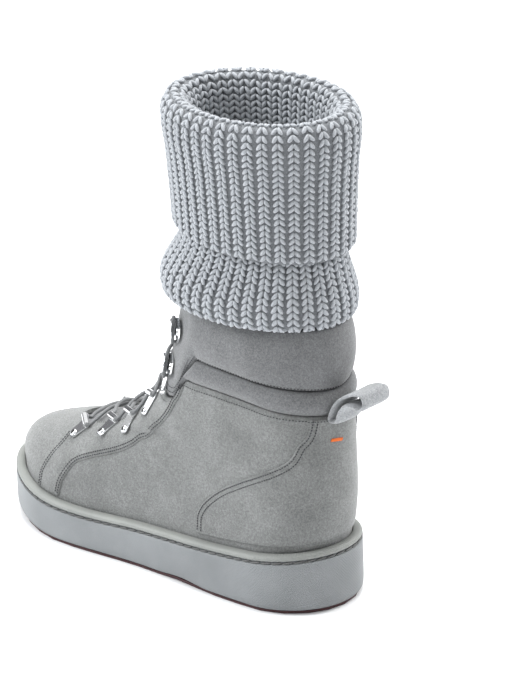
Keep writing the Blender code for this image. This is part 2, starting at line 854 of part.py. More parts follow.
def make_counter():
    """Heel overlay: wide along the lip, narrowing up the back to the quarter's edge."""
    edge = seam_line(COUNTER_EDGE)
    rows = [0.04] + [0.5 * k for k in range(1, 22)] + [STEP_ROW - 0.3]
    spans = []
    for row in rows:
        start = {}
        for side in (LATERAL, MEDIAL):
            start[side] = min(column_on_line(side, row, edge) or COUNTER_NECK, COUNTER_NECK)
        spans.append((start, {LATERAL: 1.0, MEDIAL: 1.0}))
    first = min(min(start.values()) for start, _ in spans)
    lateral = [(LATERAL, c) for c in [first] + [c for c in COLUMNS if c > first + 0.005]]
    medial = [(MEDIAL, c) for _, c in lateral[-2::-1]]
    return overlay("heel_counter", rows, spans, lateral + medial)


def make_tongue():
    """Tongue: near the surface in the throat, behind the wall beside it and under the vamp."""
    first_row = len(LOW_LEVELS) - 2
    rows = list(range(first_row, len(UPPER_LEVELS[(LATERAL, 0.0)])))
    half = [c for c in COLUMNS if c <= COLUMNS[TONGUE_COLUMNS]]
    keys = [(LATERAL, c) for c in reversed(half)] + [(MEDIAL, c) for c in half[1:]]
    outer = []
    inner = []
    for row in rows:
        outer_row = []
        inner_row = []
        for side, column in keys:
            level = UPPER_LEVELS[(side, column)][row]
            under = wall_depth(side, column, level) + TONGUE_GAP
            shown = row > len(LOW_LEVELS) and column < THROAT_SHARE
            outer_row.append(skin(side, column, level, -(TONGUE_GAP if shown else under)))
            inner_row.append(skin(side, column, level, -(under + TONGUE_THICKNESS)))
        outer.append(outer_row)
        inner.append(inner_row)
    return slab("tongue", outer, inner, False, always, (SUEDE, 0.9))


def torus_grid(name, rings, look):
    """A closed solid from rings of points that join up both ways."""
    bm = bmesh.new()
    grid = [[bm.verts.new(p) for p in ring] for ring in rings]
    rows = len(grid)
    count = len(grid[0])
    for r in range(rows):
        for c in range(count):
            low, high = grid[r], grid[(r + 1) % rows]
            d = (c + 1) % count
            bm.faces.new((low[c], low[d], high[d], high[c]))
    return new_object(name, bm, *look)


def knit_ring(length, width, height, shift, rise):
    """One round of the knitted shaft, higher in front by its rise."""
    points = []
    for k in range(KNIT_COLUMNS):
        angle = 2 * math.pi * k / KNIT_COLUMNS
        x = COLLAR_CENTRE + shift + length * math.cos(angle)
        y = COLLAR_LEAN + width * math.sin(angle)
        points.append((x, y, COLLAR_HEIGHT + height + rise * math.cos(angle)))
    return points


def make_knit_shaft():
    """A knitted tube: inside the collar, out over its edge, up, rolled over and down."""
    path = np.array(
        [
            (
                length * COLLAR_LENGTH / 2,
                width * COLLAR_WIDTH / 2,
                height * KNIT_RISE,
                shift * COLLAR_LENGTH,
                rise * KNIT_RISE,
            )
            for length, width, height, shift, rise in KNIT_PATH
        ]
    )
    along = np.gradient(path[:, [0, 2]], axis=0)
    along /= np.linalg.norm(along, axis=1)[:, None]
    side = np.stack([along[:, 1], -along[:, 0]], -1) * KNIT_THICKNESS / 2
    rings = []
    for sign, order in ((1, range(len(path))), (-1, reversed(range(len(path))))):
        for i in order:
            length, width, height, shift, rise = path[i]
            out, up = side[i] * sign
            rings.append(knit_ring(length + out, width + out, height + up, shift, rise))
    return torus_grid("knit_shaft", rings, (KNIT_GREY, 0.95))


def make_pull_loop():
    """A strap folded into a loop, sewn on at the top of the heel and hanging back."""
    seam_level = level_at_height(LATERAL, 1.0, step_height(1.0))
    anchor = surface(LATERAL, 1.0, seam_level)
    heel = half_outline(LATERAL, seam_level)[0][::-1][:40]
    heel_x, heel_y = heel[:, 0], heel[:, 1] - anchor[1]
    path = np.array([(x * LOOP_LENGTH, z * LOOP_LENGTH) for x, z, _ in LOOP_PATH])
    along = np.roll(path, -1, axis=0) - np.roll(path, 1, axis=0)
    along /= np.linalg.norm(along, axis=1)[:, None]
    side = np.stack([along[:, 1], -along[:, 0]], -1) * LOOP_THICKNESS / 2
    rings = []
    for i, (_, _, follow) in enumerate(LOOP_PATH):
        ring = []
        for sign, places in ((1, LOOP_ACROSS), (-1, LOOP_ACROSS[::-1])):
            back, up = path[i] + side[i] * sign
            for place in places:
                off = place * LOOP_WIDTH
                shift = (np.interp(abs(off), heel_y, heel_x) - anchor[0]) * follow
                ring.append((anchor[0] - back + shift, anchor[1] + off, anchor[2] + up))
        rings.append(ring)
    return torus_grid("pull_loop", rings, (SUEDE, 0.85))


def on_top(side, station, breadth):
    """Column and level of the instep or tab at a station and a distance from its middle."""
    levels = np.linspace(0.25, 0.9, 66)
    stations = []
    arcs_there = []
    for level in levels:
        points, arcs = half_outline(side, level)
        away = abs(points[:, 1] - points[0, 1])
        i = max(int(np.argmax(away >= breadth)), 1)
        share = (breadth - away[i - 1]) / (away[i] - away[i - 1])
        stations.append(points[i - 1, 0] + share * (points[i, 0] - points[i - 1, 0]))
        arcs_there.append(arcs[i - 1] + share * (arcs[i] - arcs[i - 1]))
    level = float(np.interp(-station, -np.array(stations), levels))
    arc = float(np.interp(level, levels, arcs_there))
    return column_of_arc(arc, level, half_outline(side, level)[1]), level


def hook_frame(foot, head, out):
    """Axes of a hook from its foot to its head, both given as side, column and level."""
    side, column, level = [(a + b) / 2 for a, b in zip(foot, head)]
    outward = normal(side, column, level)
    across = surface(*head) - surface(*foot)
    across = across - outward * (across @ outward)
    across /= np.linalg.norm(across)
    along = np.cross(outward, across)
    origin = surface(side, column, level)
    lift = out
    for dc in np.linspace(-0.15, 0.15, 25):
        for row in np.arange(4, STEP_ROW, 0.25):
            near = row_point(side, row, max(column + dc, THROAT_SHARE), out) - origin
            if abs(near @ across) < HOOK_LENGTH / 2 and abs(near @ along) < HOOK_WIDTH / 2:
                lift = max(lift, near @ outward)
    return origin + outward * (lift + GAP), across, along, outward


def lower_hook_profile():
    radius = HOOK_TUBE / 2
    middle = HOOK_LENGTH / 2 - radius
    points = [(-HOOK_LENGTH / 2, 0)]
    for angle in (-90, -40, 10, 60, 110, 160):
        a = math.radians(angle)
        points.append((middle + radius * math.cos(a), radius + radius * math.sin(a)))
    points += [(middle - radius * 1.2, HOOK_PLATE), (-HOOK_LENGTH / 2, HOOK_PLATE)]
    return points


def speed_hook_profile():
    end = SPEED_HOOK_LENGTH / 2
    top = SPEED_HOOK_HEIGHT
    plate = HOOK_PLATE
    return [
        (-end, 0),
        (end - 1.2 * MM, 0),
        (end, 1.2 * MM),
        (end, top - 1.2 * MM),
        (end - 1.2 * MM, top),
        (-end * 0.35, top),
        (-end * 0.35, top - plate),
        (end - 1.4 * MM, top - plate),
        (end - 1.4 * MM, plate),
        (-end, plate),
    ]


def make_hook(name, frame, profile, width, taper):
    """A hook bent from plate: its side profile, made wide along the stay."""
    origin, across, along, outward = frame
    start = profile[0][0]
    length = max(u for u, _ in profile) - start
    bm = bmesh.new()
    ends = []
    for edge in (-0.5, 0.5):
        ring = []
        for u, n in profile:
            share = taper + (1 - taper) * min(1.0, (u - start) / (0.6 * length))
            point = origin + across * u + outward * n + along * (edge * width * share)
            ring.append(bm.verts.new(point))
        ends.append(ring)
    count = len(profile)
    for i in range(count):
        j = (i + 1) % count
        bm.faces.new((ends[0][i], ends[0][j], ends[1][j], ends[1][i]))
    for ring in ends:
        bm.faces.new(ring)
    return new_object(name, bm, STEEL, 0.25, 1.0)


def lace_hook_ends(side, rivet, tube_station):
    collar_front = COLLAR_CENTRE + COLLAR_LENGTH / 2
    reach = HOOK_LENGTH / 4
    foot = (side, *on_top(side, collar_front + rivet * SOLE_LENGTH, HOOK_LINE + reach))
    head = (side, *on_top(side, collar_front + tube_station * SOLE_LENGTH, HOOK_LINE - reach))
    return foot, head


def tab_height(share):
    return TAB_FOOT_HEIGHT + (COLLAR_HEIGHT - TAB_FOOT_HEIGHT) * share


def speed_hook_ends(side, height):
    level = 0.8
    for _ in range(4):
        arcs = half_outline(side, level)[1]
        column = column_of_arc(SPEED_HOOK_LINE, level, arcs)
        level = level_at_height(side, column, tab_height(height))
    reach = SPEED_HOOK_LENGTH / 2
    foot = (side, column_of_arc(SPEED_HOOK_LINE + reach, level, arcs), level)
    head = (side, column_of_arc(SPEED_HOOK_LINE - reach, level, arcs), level)
    return foot, head


def make_hooks():
    over_eyestay = OVERLAY_GAP + OVERLAY
    for side, label in ((LATERAL, "lateral"), (MEDIAL, "medial")):
        for i, (rivet, tube_station) in enumerate(LACE_HOOKS):
            frame = hook_frame(*lace_hook_ends(side, rivet, tube_station), over_eyestay)
            name = f"lace_hook_{label}_{i + 1}"
            make_hook(name, frame, lower_hook_profile(), HOOK_WIDTH, 0.6)
        for i, height in enumerate(SPEED_HOOKS):
            frame = hook_frame(*speed_hook_ends(side, height), BAND_PUFF - 1.5 * MM)
            name = f"speed_hook_{label}_{i + 1}"
            make_hook(name, frame, speed_hook_profile(), SPEED_HOOK_WIDTH, 0.8)


def lace_turns(side):
    """Levels where the lace turns beside the hooks, from the toe upwards."""
    ends = [lace_hook_ends(side, *row)[1] for row in LACE_HOOKS]
    ends += [speed_hook_ends(side, height)[1] for height in SPEED_HOOKS]
    return [max(level, THROAT_LEVEL + LACE_TURN) for _, _, level in ends]


def lace_point(side, level, share):
    """A point of the lace: share 1 beside the throat's edge and 0 over the tongue's middle."""
    arc = (throat_edge(level) - LACE_SETBACK) * share
    out = LACE_DIAMETER / 2 + LACE_CLEARANCE - TONGUE_GAP
    return skin(side, column_of_arc(arc, level, half_outline(side, level)[1]), level, out)


def lace_path(start):
    """One lace end: across the bottom or not, then across to every next hook."""
    turns = {LATERAL: lace_turns(LATERAL), MEDIAL: lace_turns(MEDIAL)}
    points = []
    if start == LATERAL:
        low = THROAT_LEVEL + LACE_TURN / 2
        points += [lace_point(MEDIAL, low, share) for share in (0.85, 0.45)]
        points += [lace_point(LATERAL, low, share) for share in (0.0, 0.45, 0.85)]
    side = start
    last = len(turns[LATERAL]) - 1
    for i in range(last + 1):
        low = turns[side][i] + LACE_TURN / 2
        points.append(lace_point(side, turns[side][i] - LACE_TURN / 4, 1.0))
        points.append(lace_point(side, turns[side][i] + LACE_TURN / 4, 1.0))
        if i == last:
            break
        high = turns[-side][i + 1] - LACE_TURN / 2
        for step in LACE_STEPS:
            here = side if step < 0.5 else -side
            points.append(lace_point(here, low + (high - low) * step, abs(1 - 2 * step)))
        side = -side
    return points


def tube(points, radius, sides):
    """A round cord along points, with flat ends, as a bmesh."""
    points = np.array(points)
    bm = bmesh.new()
    rings = []
    guide = np.array([0.3, 0.2, 1.0])
    for i, point in enumerate(points):
        ahead = points[min(i + 1, len(points) - 1)] - point
        behind = point - points[max(i - 1, 0)]
        way = ahead / (np.linalg.norm(ahead) + 1e-12) + behind / (np.linalg.norm(behind) + 1e-12)
        way /= np.linalg.norm(way)
        first = np.cross(way, guide)
        first /= np.linalg.norm(first)
        second = np.cross(way, first)
        ring = []
        for k in range(sides):
            a = 2 * math.pi * k / sides
            ring.append(bm.verts.new(point + (first * math.cos(a) + second * math.sin(a)) * radius))
        rings.append(ring)
    for low, high in zip(rings, rings[1:]):
        for k in range(sides):
            m = (k + 1) % sides
            bm.faces.new((low[k], low[m], high[m], high[k]))
    bm.faces.new(rings[0])
    bm.faces.new(rings[-1])
    return bm


def make_lace():
    """Two lace ends crossing between the hooks, joined where they cross."""
    first = new_object("lace", tube(lace_path(LATERAL), LACE_DIAMETER / 2, 5), CORD, 0.8)
    second = new_object("lace_other_end", tube(lace_path(MEDIAL), LACE_DIAMETER / 2, 5), CORD, 0.8)
    second.hide_render = True
    second.display_type = "WIRE"
    joined = first.modifiers.new("join", "BOOLEAN")
    joined.operation = "UNION"
    joined.object = second
    joined.use_self = True
    return first


def main():
    for obj in list(bpy.data.objects):
        bpy.data.objects.remove(obj, do_unlink=True)
    make_tread()
    make_cupsole()
    make_insole()
    make_upper()
    make_eyestay("eyestay_lateral", LATERAL)
    make_eyestay("eyestay_medial", MEDIAL)
    make_counter()
    make_bands()
    make_tongue()
    make_knit_shaft()
    make_pull_loop()
    make_hooks()
    make_lace()


main()
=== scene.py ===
"""The left suede boot with its knitted shaft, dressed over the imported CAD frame.

The toe points along +X and the lateral side along +Y. The floor is Z = 0. Lengths are in metres.
The form, its tables and its seams repeat those of the part's source.
"""
import math

import bmesh
import bpy
import numpy as np
from mathutils import Matrix, Vector


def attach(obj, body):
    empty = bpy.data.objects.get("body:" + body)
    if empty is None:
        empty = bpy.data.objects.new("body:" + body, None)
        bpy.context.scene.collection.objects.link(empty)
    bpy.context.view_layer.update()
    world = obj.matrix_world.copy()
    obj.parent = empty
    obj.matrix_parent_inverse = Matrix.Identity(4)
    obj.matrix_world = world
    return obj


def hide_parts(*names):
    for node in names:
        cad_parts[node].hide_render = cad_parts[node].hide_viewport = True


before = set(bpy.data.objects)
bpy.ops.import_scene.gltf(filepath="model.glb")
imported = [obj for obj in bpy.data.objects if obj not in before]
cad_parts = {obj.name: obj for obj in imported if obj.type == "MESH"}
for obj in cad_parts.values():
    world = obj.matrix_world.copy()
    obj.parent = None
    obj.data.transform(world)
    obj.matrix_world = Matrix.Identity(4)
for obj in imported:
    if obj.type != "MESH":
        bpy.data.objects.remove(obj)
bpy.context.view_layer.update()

MM = 0.001

# Driving dimensions of the sole
SOLE_LENGTH = 275 * MM
BALL_WIDTH = 97 * MM
HEEL_HEIGHT = 42 * MM
LIP_WIDTH = 6.5 * MM
TREAD_THICKNESS = 2.2 * MM
ARCH_RISE = 1.5 * MM
TOE_SPRING = 8 * MM
GROOVE_DEPTH = 1.4 * MM

# Driving dimensions of the upper
COLLAR_HEIGHT = 186 * MM
COLLAR_LENGTH = 122 * MM
COLLAR_WIDTH = 80 * MM
COLLAR_CENTRE = -74 * MM
COLLAR_LEAN = -2 * MM
INSTEP_HEIGHT = 86 * MM
WALL = 2.4 * MM
COLLAR_WALL = 8.5 * MM
LINING = 2.1 * MM
THROAT_HALF_WIDTH = 24 * MM
SEAM_REACH = 3 * MM
BAND_SEAM_HEIGHT = 152 * MM
BAND_SEAM_DIP = 8 * MM
QUARTER_HEIGHT = 136 * MM
QUARTER_DIP = 9 * MM
TAB_FOOT_HEIGHT = 118 * MM
TAB_FOOT_ROUND = 4 * MM
BAND_PUFF = 4 * MM

# Driving dimensions of the tongue, knit, loop, hooks and lace
TONGUE_THICKNESS = 3.2 * MM
TONGUE_GAP = 0.9 * MM
KNIT_THICKNESS = 4.6 * MM
KNIT_RISE = 133.5 * MM
LOOP_LENGTH = 29 * MM
LOOP_WIDTH = 25 * MM
LOOP_THICKNESS = 2.2 * MM
HOOK_LENGTH = 17 * MM
HOOK_TUBE = 4.4 * MM
HOOK_LINE = 25.5 * MM
SPEED_HOOK_LINE = 33 * MM
SPEED_HOOK_LENGTH = 12 * MM
SPEED_HOOK_WIDTH = 16 * MM
LACE_DIAMETER = 2.4 * MM
GAP = 0.3 * MM

LATERAL = 1
MEDIAL = -1
SIDES = ((LATERAL, "lateral"), (MEDIAL, "medial"))

# Top of the sole's lip. Columns: station / SOLE_LENGTH, height / HEEL_HEIGHT
LIP_LINE = (
    (-0.50, 1.000), (-0.25, 0.845), (0.00, 0.726), (0.20, 0.680), (0.35, 0.735), (0.50, 0.905),
)

# Where the arch and the toe spring lie, as stations / SOLE_LENGTH
ARCH_BACK = -0.22
ARCH_FRONT = -0.04
SPRING_START = 0.26

# Floor of the cup in the sole. Columns: station / SOLE_LENGTH, height / HEEL_HEIGHT
CUP_FLOOR = (
    (-0.50, 0.570), (-0.30, 0.560), (-0.08, 0.430), (0.12, 0.310), (0.32, 0.310), (0.50, 0.450),
)

# Toe and instep seen from the side.
# Columns: station / SOLE_LENGTH, height / INSTEP_HEIGHT
FRONT_PROFILE = (
    (0.4764, 0.442), (0.4818, 0.512), (0.4709, 0.593), (0.4436, 0.669), (0.4000, 0.733),
    (0.3527, 0.785), (0.2982, 0.831), (0.2473, 0.878), (0.2000, 0.930), (0.1527, 1.000),
    (0.1091, 1.087), (0.0727, 1.174), (0.0436, 1.267), (0.0145, 1.390),
)

# Front of the shaft. Columns: distance / COLLAR_LENGTH before the collar's centre,
# height / COLLAR_HEIGHT
SHAFT_FRONT = (
    (0.590, 0.699), (0.549, 0.769), (0.516, 0.849), (0.500, 0.925), (0.500, 1.000),
)

# Back of the heel and shaft. Columns: distance / COLLAR_LENGTH behind the collar's centre,
# height / COLLAR_HEIGHT
BACK_PROFILE = (
    (0.467, 0.226), (0.484, 0.280), (0.496, 0.350), (0.500, 0.457), (0.496, 0.591), (0.492, 0.699),
    (0.489, 0.806), (0.493, 0.914), (0.500, 1.000),
)

# Half-widths of the upper on levels from the lip (0) to the collar's edge (1), at the back,
# the quarter points and the front of each level, and the rounded shares of its length.
# Columns: level, heel, rear, middle, fore, toe / BALL_WIDTH, heel round, toe round
FOOT_LEVELS = (
    (0.00, 0.366, 0.376, 0.361, 0.436, 0.440, 0.145, 0.25),
    (0.16, 0.371, 0.376, 0.366, 0.428, 0.443, 0.145, 0.27),
    (0.27, 0.366, 0.371, 0.371, 0.397, 0.440, 0.150, 0.33),
    (0.34, 0.366, 0.371, 0.371, 0.340, 0.400, 0.155, 0.37),
    (0.40, 0.361, 0.371, 0.376, 0.310, 0.270, 0.170, 0.36),
    (0.43, 0.361, 0.371, 0.378, 0.320, 0.235, 0.190, 0.29),
    (0.46, 0.358, 0.371, 0.380, 0.371, 0.340, 0.200, 0.36),
    (0.50, 0.356, 0.371, 0.381, 0.381, 0.385, 0.220, 0.38),
    (0.60, 0.356, 0.371, 0.381, 0.381, 0.371, 0.250, 0.36),
)

# The same for the shaft, with the half-widths as shares of COLLAR_WIDTH
SHAFT_LEVELS = (
    (0.70, 0.444, 0.462, 0.475, 0.475, 0.456, 0.33, 0.40),
    (0.85, 0.469, 0.481, 0.488, 0.488, 0.481, 0.42, 0.46),
    (1.00, 0.500, 0.500, 0.500, 0.500, 0.500, 0.50, 0.50),
)

# How far the foot bends to the side. Columns: station / SOLE_LENGTH, shift / BALL_WIDTH
CENTRE_LINE = (
    (-0.50, 0.000), (-0.20, 0.020), (0.00, 0.012), (0.17, -0.006), (0.42, -0.050), (0.50, -0.065),
)

# Column of the throat's edge, and the tabs' rear edge as a share of the way on to the back
THROAT_SHARE = 0.12
TAB_SHARE = 0.22

# Throat's edge, as an arc from the front centre. Columns: level, arc / THROAT_HALF_WIDTH
THROAT_EDGE = (
    (0.00, 0.71), (0.30, 0.85), (0.40, 1.10), (0.45, 1.16), (0.50, 1.05), (0.60, 1.00),
    (0.80, 0.90), (1.00, 0.80),
)

# Level where the throat starts, and how fast the levels rise in front and behind
THROAT_LEVEL = 0.412
FRONT_PACE = 1.9
BACK_PACE = 0.75

# Seams on the side of the upper. Columns: station / SOLE_LENGTH, height / INSTEP_HEIGHT
EYESTAY_SEAM = (
    (0.2531, 0.349), (0.2455, 0.443), (0.2316, 0.540), (0.2138, 0.629), (0.1956, 0.680),
    (0.1535, 0.727), (0.1055, 0.792), (0.0542, 0.869), (0.0018, 0.987), (-0.0400, 1.122),
    (-0.0716, 1.227), (-0.0971, 1.328), (-0.1149, 1.458),
)
VAMP_SEAM = (
    (0.3345, 0.340), (0.3313, 0.414), (0.3218, 0.517), (0.3051, 0.612), (0.2887, 0.691),
    (0.2738, 0.755), (0.2673, 0.819), (0.2629, 0.852), (0.2560, 0.869),
)
COUNTER_EDGE = (
    (-0.167, 0.340), (-0.169, 0.570), (-0.193, 0.698), (-0.247, 0.849), (-0.302, 0.953),
    (-0.371, 1.070), (-0.407, 1.128), (-0.442, 1.216), (-0.462, 1.291), (-0.471, 1.381),
    (-0.474, 1.463),
)
COUNTER_NECK = 0.89

# Knitted shaft, from its end inside the collar to the hem of the turned-down cuff.
# Columns: half length / half COLLAR_LENGTH, half width / half COLLAR_WIDTH,
# height above the collar / KNIT_RISE, forward shift / COLLAR_LENGTH, rise / KNIT_RISE
KNIT_PATH = (
    (0.700, 0.700, -0.105, -0.030, 0.000), (0.700, 0.700, -0.020, -0.030, 0.000),
    (0.725, 0.715, 0.014, -0.028, 0.000), (0.800, 0.785, 0.033, -0.018, 0.000),
    (0.910, 0.920, 0.033, 0.000, 0.000), (0.995, 1.050, 0.028, 0.026, 0.004),
    (1.045, 1.150, 0.034, 0.040, 0.010), (1.065, 1.205, 0.070, 0.044, 0.015),
    (1.055, 1.205, 0.125, 0.042, 0.015), (0.990, 1.105, 0.205, 0.030, 0.010),
    (0.910, 0.990, 0.290, 0.015, 0.000), (0.845, 0.920, 0.400, 0.004, 0.000),
    (0.830, 0.905, 0.640, 0.000, 0.000), (0.835, 0.915, 0.860, 0.000, 0.000),
    (0.860, 0.945, 0.940, 0.000, 0.000), (0.915, 1.025, 0.985, 0.000, 0.000),
    (0.985, 1.135, 0.990, 0.000, 0.000), (1.045, 1.225, 0.955, 0.000, 0.000),
    (1.055, 1.245, 0.890, 0.000, 0.004), (1.025, 1.200, 0.760, 0.000, 0.010),
    (0.995, 1.155, 0.560, 0.000, 0.022), (0.975, 1.125, 0.365, 0.000, 0.030),
)

# Pull loop seen from the side, as a closed path round its middle, from the seam.
# Columns: distance behind the heel / LOOP_LENGTH, height above the seam / LOOP_LENGTH,
# how much it follows the round of the heel
LOOP_PATH = (
    (0.105, -0.010, 1.00), (0.170, 0.300, 0.85), (0.330, 0.540, 0.55), (0.560, 0.700, 0.25),
    (0.780, 0.775, 0.08), (0.930, 0.770, 0.00), (0.985, 0.660, 0.00), (0.960, 0.530, 0.00),
    (0.840, 0.450, 0.05), (0.680, 0.490, 0.22), (0.520, 0.470, 0.50), (0.370, 0.290, 0.80),
    (0.235, 0.000, 1.00),
)

# Lace hooks. Columns: distance of the rivet and of the tube before the collar's front / SOLE_LENGTH
LACE_HOOKS = (
    (0.2738, 0.2438), (0.1953, 0.1873), (0.1277, 0.1178), (0.0582, 0.0509), (-0.0027, 0.0053),
)
# Heights of the speed hooks, as shares of the way from the tab's foot to the collar's edge
SPEED_HOOKS = (0.308, 0.685)


def smooth(stations, values, x):
    """Read a table at x along a smooth curve through its rows."""
    stations = np.asarray(stations, float)
    values = np.asarray(values, float)
    slopes = np.gradient(values, stations, axis=0)
    x = np.clip(x, stations[0], stations[-1])
    i = np.clip(np.searchsorted(stations, x) - 1, 0, len(stations) - 2)
    width = stations[i + 1] - stations[i]
    t = (x - stations[i]) / width
    return (
        (2 * t**3 - 3 * t**2 + 1) * values[i]
        + (t**3 - 2 * t**2 + t) * width * slopes[i]
        + (3 * t**2 - 2 * t**3) * values[i + 1]
        + (t**3 - t**2) * width * slopes[i + 1]
    )


def ease(x):
    x = min(max(x, 0.0), 1.0)
    return x * x * (3 - 2 * x)


def read_line(table, x, length, height):
    rows = np.asarray(table, float)
    return smooth(rows[:, 0] * length, rows[:, 1] * height, x)


def lip(x):
    return read_line(LIP_LINE, x, SOLE_LENGTH, HEEL_HEIGHT)


def cup_floor(x):
    return read_line(CUP_FLOOR, x, SOLE_LENGTH, HEEL_HEIGHT)


def centre_line(x):
    return read_line(CENTRE_LINE, x, SOLE_LENGTH, BALL_WIDTH)


def ground(x):
    """Underside of the sole: flat heel and ball, a low arch between, and the toe spring."""
    share = x / SOLE_LENGTH
    height = 0.0
    if ARCH_BACK < share < ARCH_FRONT:
        along = (share - ARCH_BACK) / (ARCH_FRONT - ARCH_BACK)
        height = ARCH_RISE * math.sin(math.pi * along) ** 2
    if share > SPRING_START:
        height = TOE_SPRING * ((share - SPRING_START) / (0.5 - SPRING_START)) ** 2
    return height


def profile_points():
    front = [(s * SOLE_LENGTH, h * INSTEP_HEIGHT) for s, h in FRONT_PROFILE]
    front += [(COLLAR_CENTRE + s * COLLAR_LENGTH, h * COLLAR_HEIGHT) for s, h in SHAFT_FRONT]
    back = [(COLLAR_CENTRE - s * COLLAR_LENGTH, h * COLLAR_HEIGHT) for s, h in BACK_PROFILE]
    return front, back


def arc_lengths(points):
    """Length along a polyline up to each of its points."""
    steps = np.linalg.norm(np.diff(points, axis=0), axis=1)
    return np.concatenate([[0.0], np.cumsum(steps)])


def smooth_curve(points, count=900):
    points = np.asarray(points, float)
    along = arc_lengths(points)
    where = np.linspace(0, along[-1], count)
    return np.stack([smooth(along, points[:, k], where) for k in range(points.shape[1])], -1)


FRONT_POINTS, BACK_POINTS = profile_points()
FRONT_CURVE = smooth_curve(FRONT_POINTS)
BACK_CURVE = smooth_curve(BACK_POINTS)
FRONT_FOOT = FRONT_POINTS[0][0]
BACK_FOOT = BACK_POINTS[0][0]


def level_height(level, x):
    """Height of a level above the floor. Levels tilt forward over the instep."""
    share = (x - BACK_FOOT) / (FRONT_FOOT - BACK_FOOT)
    lip_back = lip(BACK_FOOT)
    lip_front = lip(FRONT_FOOT)
    back = lip_back + (COLLAR_HEIGHT - lip_back) * level**BACK_PACE
    front = lip_front + (COLLAR_HEIGHT - lip_front) * level**FRONT_PACE
    sag = lip(x) - (lip_back + (lip_front - lip_back) * share)
    return back + (front - back) * share + sag * (1 - level) ** 2


def profile_end(curve, level):
    """Station where a level meets the front or back profile."""
    over = curve[:, 1] - level_height(level, curve[:, 0])
    above = np.nonzero(over >= 0)[0]
    if len(above) == 0:
        return curve[-1, 0]
    i = above[0]
    if i == 0:
        return curve[0, 0]
    share = over[i - 1] / (over[i - 1] - over[i])
    return curve[i - 1, 0] + share * (curve[i, 0] - curve[i - 1, 0])


def level_table():
    """Both tables of levels in one, with the half-widths as lengths."""
    table = np.array(FOOT_LEVELS + SHAFT_LEVELS)
    table[:, 1:6] *= np.where(table[:, :1] < SHAFT_LEVELS[0][0], BALL_WIDTH, COLLAR_WIDTH)
    return table


LEVEL_TABLE = level_table()
HALF_OUTLINES = {}


def half_outline(side, level):
    """Points of half a level's outline, from the front to the back, with their arc lengths."""
    key = (side, round(level, 6))
    if key in HALF_OUTLINES:
        return HALF_OUTLINES[key]
    row = np.array([smooth(LEVEL_TABLE[:, 0], LEVEL_TABLE[:, k], level) for k in range(1, 8)])
    widths, heel_round, toe_round = row[:5], row[5], row[6]
    front = profile_end(FRONT_CURVE, level)
    back = profile_end(BACK_CURVE, level)
    along = (1 + np.cos(np.linspace(0, math.pi, 361))) / 2
    x = back + (front - back) * along
    half = smooth((0, 0.25, 0.5, 0.75, 1), widths, along)
    heel = np.clip(along / heel_round, 0, 1)
    toe = np.clip((1 - along) / toe_round, 0, 1)
    half = half * np.sqrt(2 * heel - heel**2) * np.sqrt(2 * toe - toe**2)
    fade = (1 - level) ** 1.5
    middle = centre_line(x) * fade + COLLAR_LEAN * (1 - fade)
    points = np.stack([x, middle + side * half, level_height(level, x)], -1)
    arcs = arc_lengths(points)
    HALF_OUTLINES[key] = (points, arcs)
    return HALF_OUTLINES[key]


def throat_edge(level):
    return read_line(THROAT_EDGE, level, 1.0, THROAT_HALF_WIDTH)


def arc_of_column(column, level, arcs):
    """Arc length from the front centre: the throat's edge keeps one column."""
    edge = throat_edge(level)
    if column <= THROAT_SHARE:
        return edge * column / THROAT_SHARE
    share = (column - THROAT_SHARE) / (1 - THROAT_SHARE)
    return edge + (arcs[-1] - edge) * share


def column_of_arc(arc, level, arcs):
    edge = throat_edge(level)
    if arc <= edge:
        return THROAT_SHARE * arc / edge
    return THROAT_SHARE + (1 - THROAT_SHARE) * (arc - edge) / (arcs[-1] - edge)


def surface(side, column, level):
    """A point of the upper's outer form."""
    if column < 0:
        side, column = -side, -column
    if column > 1:
        side, column = -side, 2 - column
    points, arcs = half_outline(side, level)
    arc = arc_of_column(column, level, arcs)
    return np.array([np.interp(arc, arcs, points[:, k]) for k in range(3)])


def normal(side, column, level):
    dc = 0.012
    dl = 0.012
    low = max(level - dl, 0.0)
    high = min(level + dl, 1.0)
    across = surface(side, column + dc, level) - surface(side, column - dc, level)
    up = surface(side, column, high) - surface(side, column, low)
    vector = np.cross(across, up) * side
    return vector / np.linalg.norm(vector)


def level_at_height(side, column, height):
    levels = np.linspace(0, 1, 41)
    heights = np.array([surface(side, column, level)[2] for level in levels])
    return float(np.interp(height, heights, levels))


def side_column(share):
    return THROAT_SHARE + (1 - THROAT_SHARE) * share


TAB_EDGE = side_column(TAB_SHARE)


def back_share(column):
    """How far a column lies behind the tabs, as a share of the way to the back."""
    return max(column - TAB_EDGE, 0.0) / (1 - TAB_EDGE)


def seam_height(column):
    """Height of the seam between the padded bands, which falls towards the back."""
    return BAND_SEAM_HEIGHT - BAND_SEAM_DIP * back_share(column) ** 1.5


def step_height(column):
    """Height where the quarter ends and the padded bands begin: it drops under the tabs."""
    share = (column - THROAT_SHARE) / (TAB_EDGE - THROAT_SHARE)
    drop = 1 - ease((share - 0.72) / 0.28)
    foot = TAB_FOOT_HEIGHT + TAB_FOOT_ROUND * (2 * min(max(share, 0.0), 0.9) / 0.9 - 1) ** 2
    side = QUARTER_HEIGHT - QUARTER_DIP * back_share(column) ** 2.2
    return side + (foot - side) * drop



def seam_line(table):
    return [(x * SOLE_LENGTH, z * INSTEP_HEIGHT) for x, z in table]


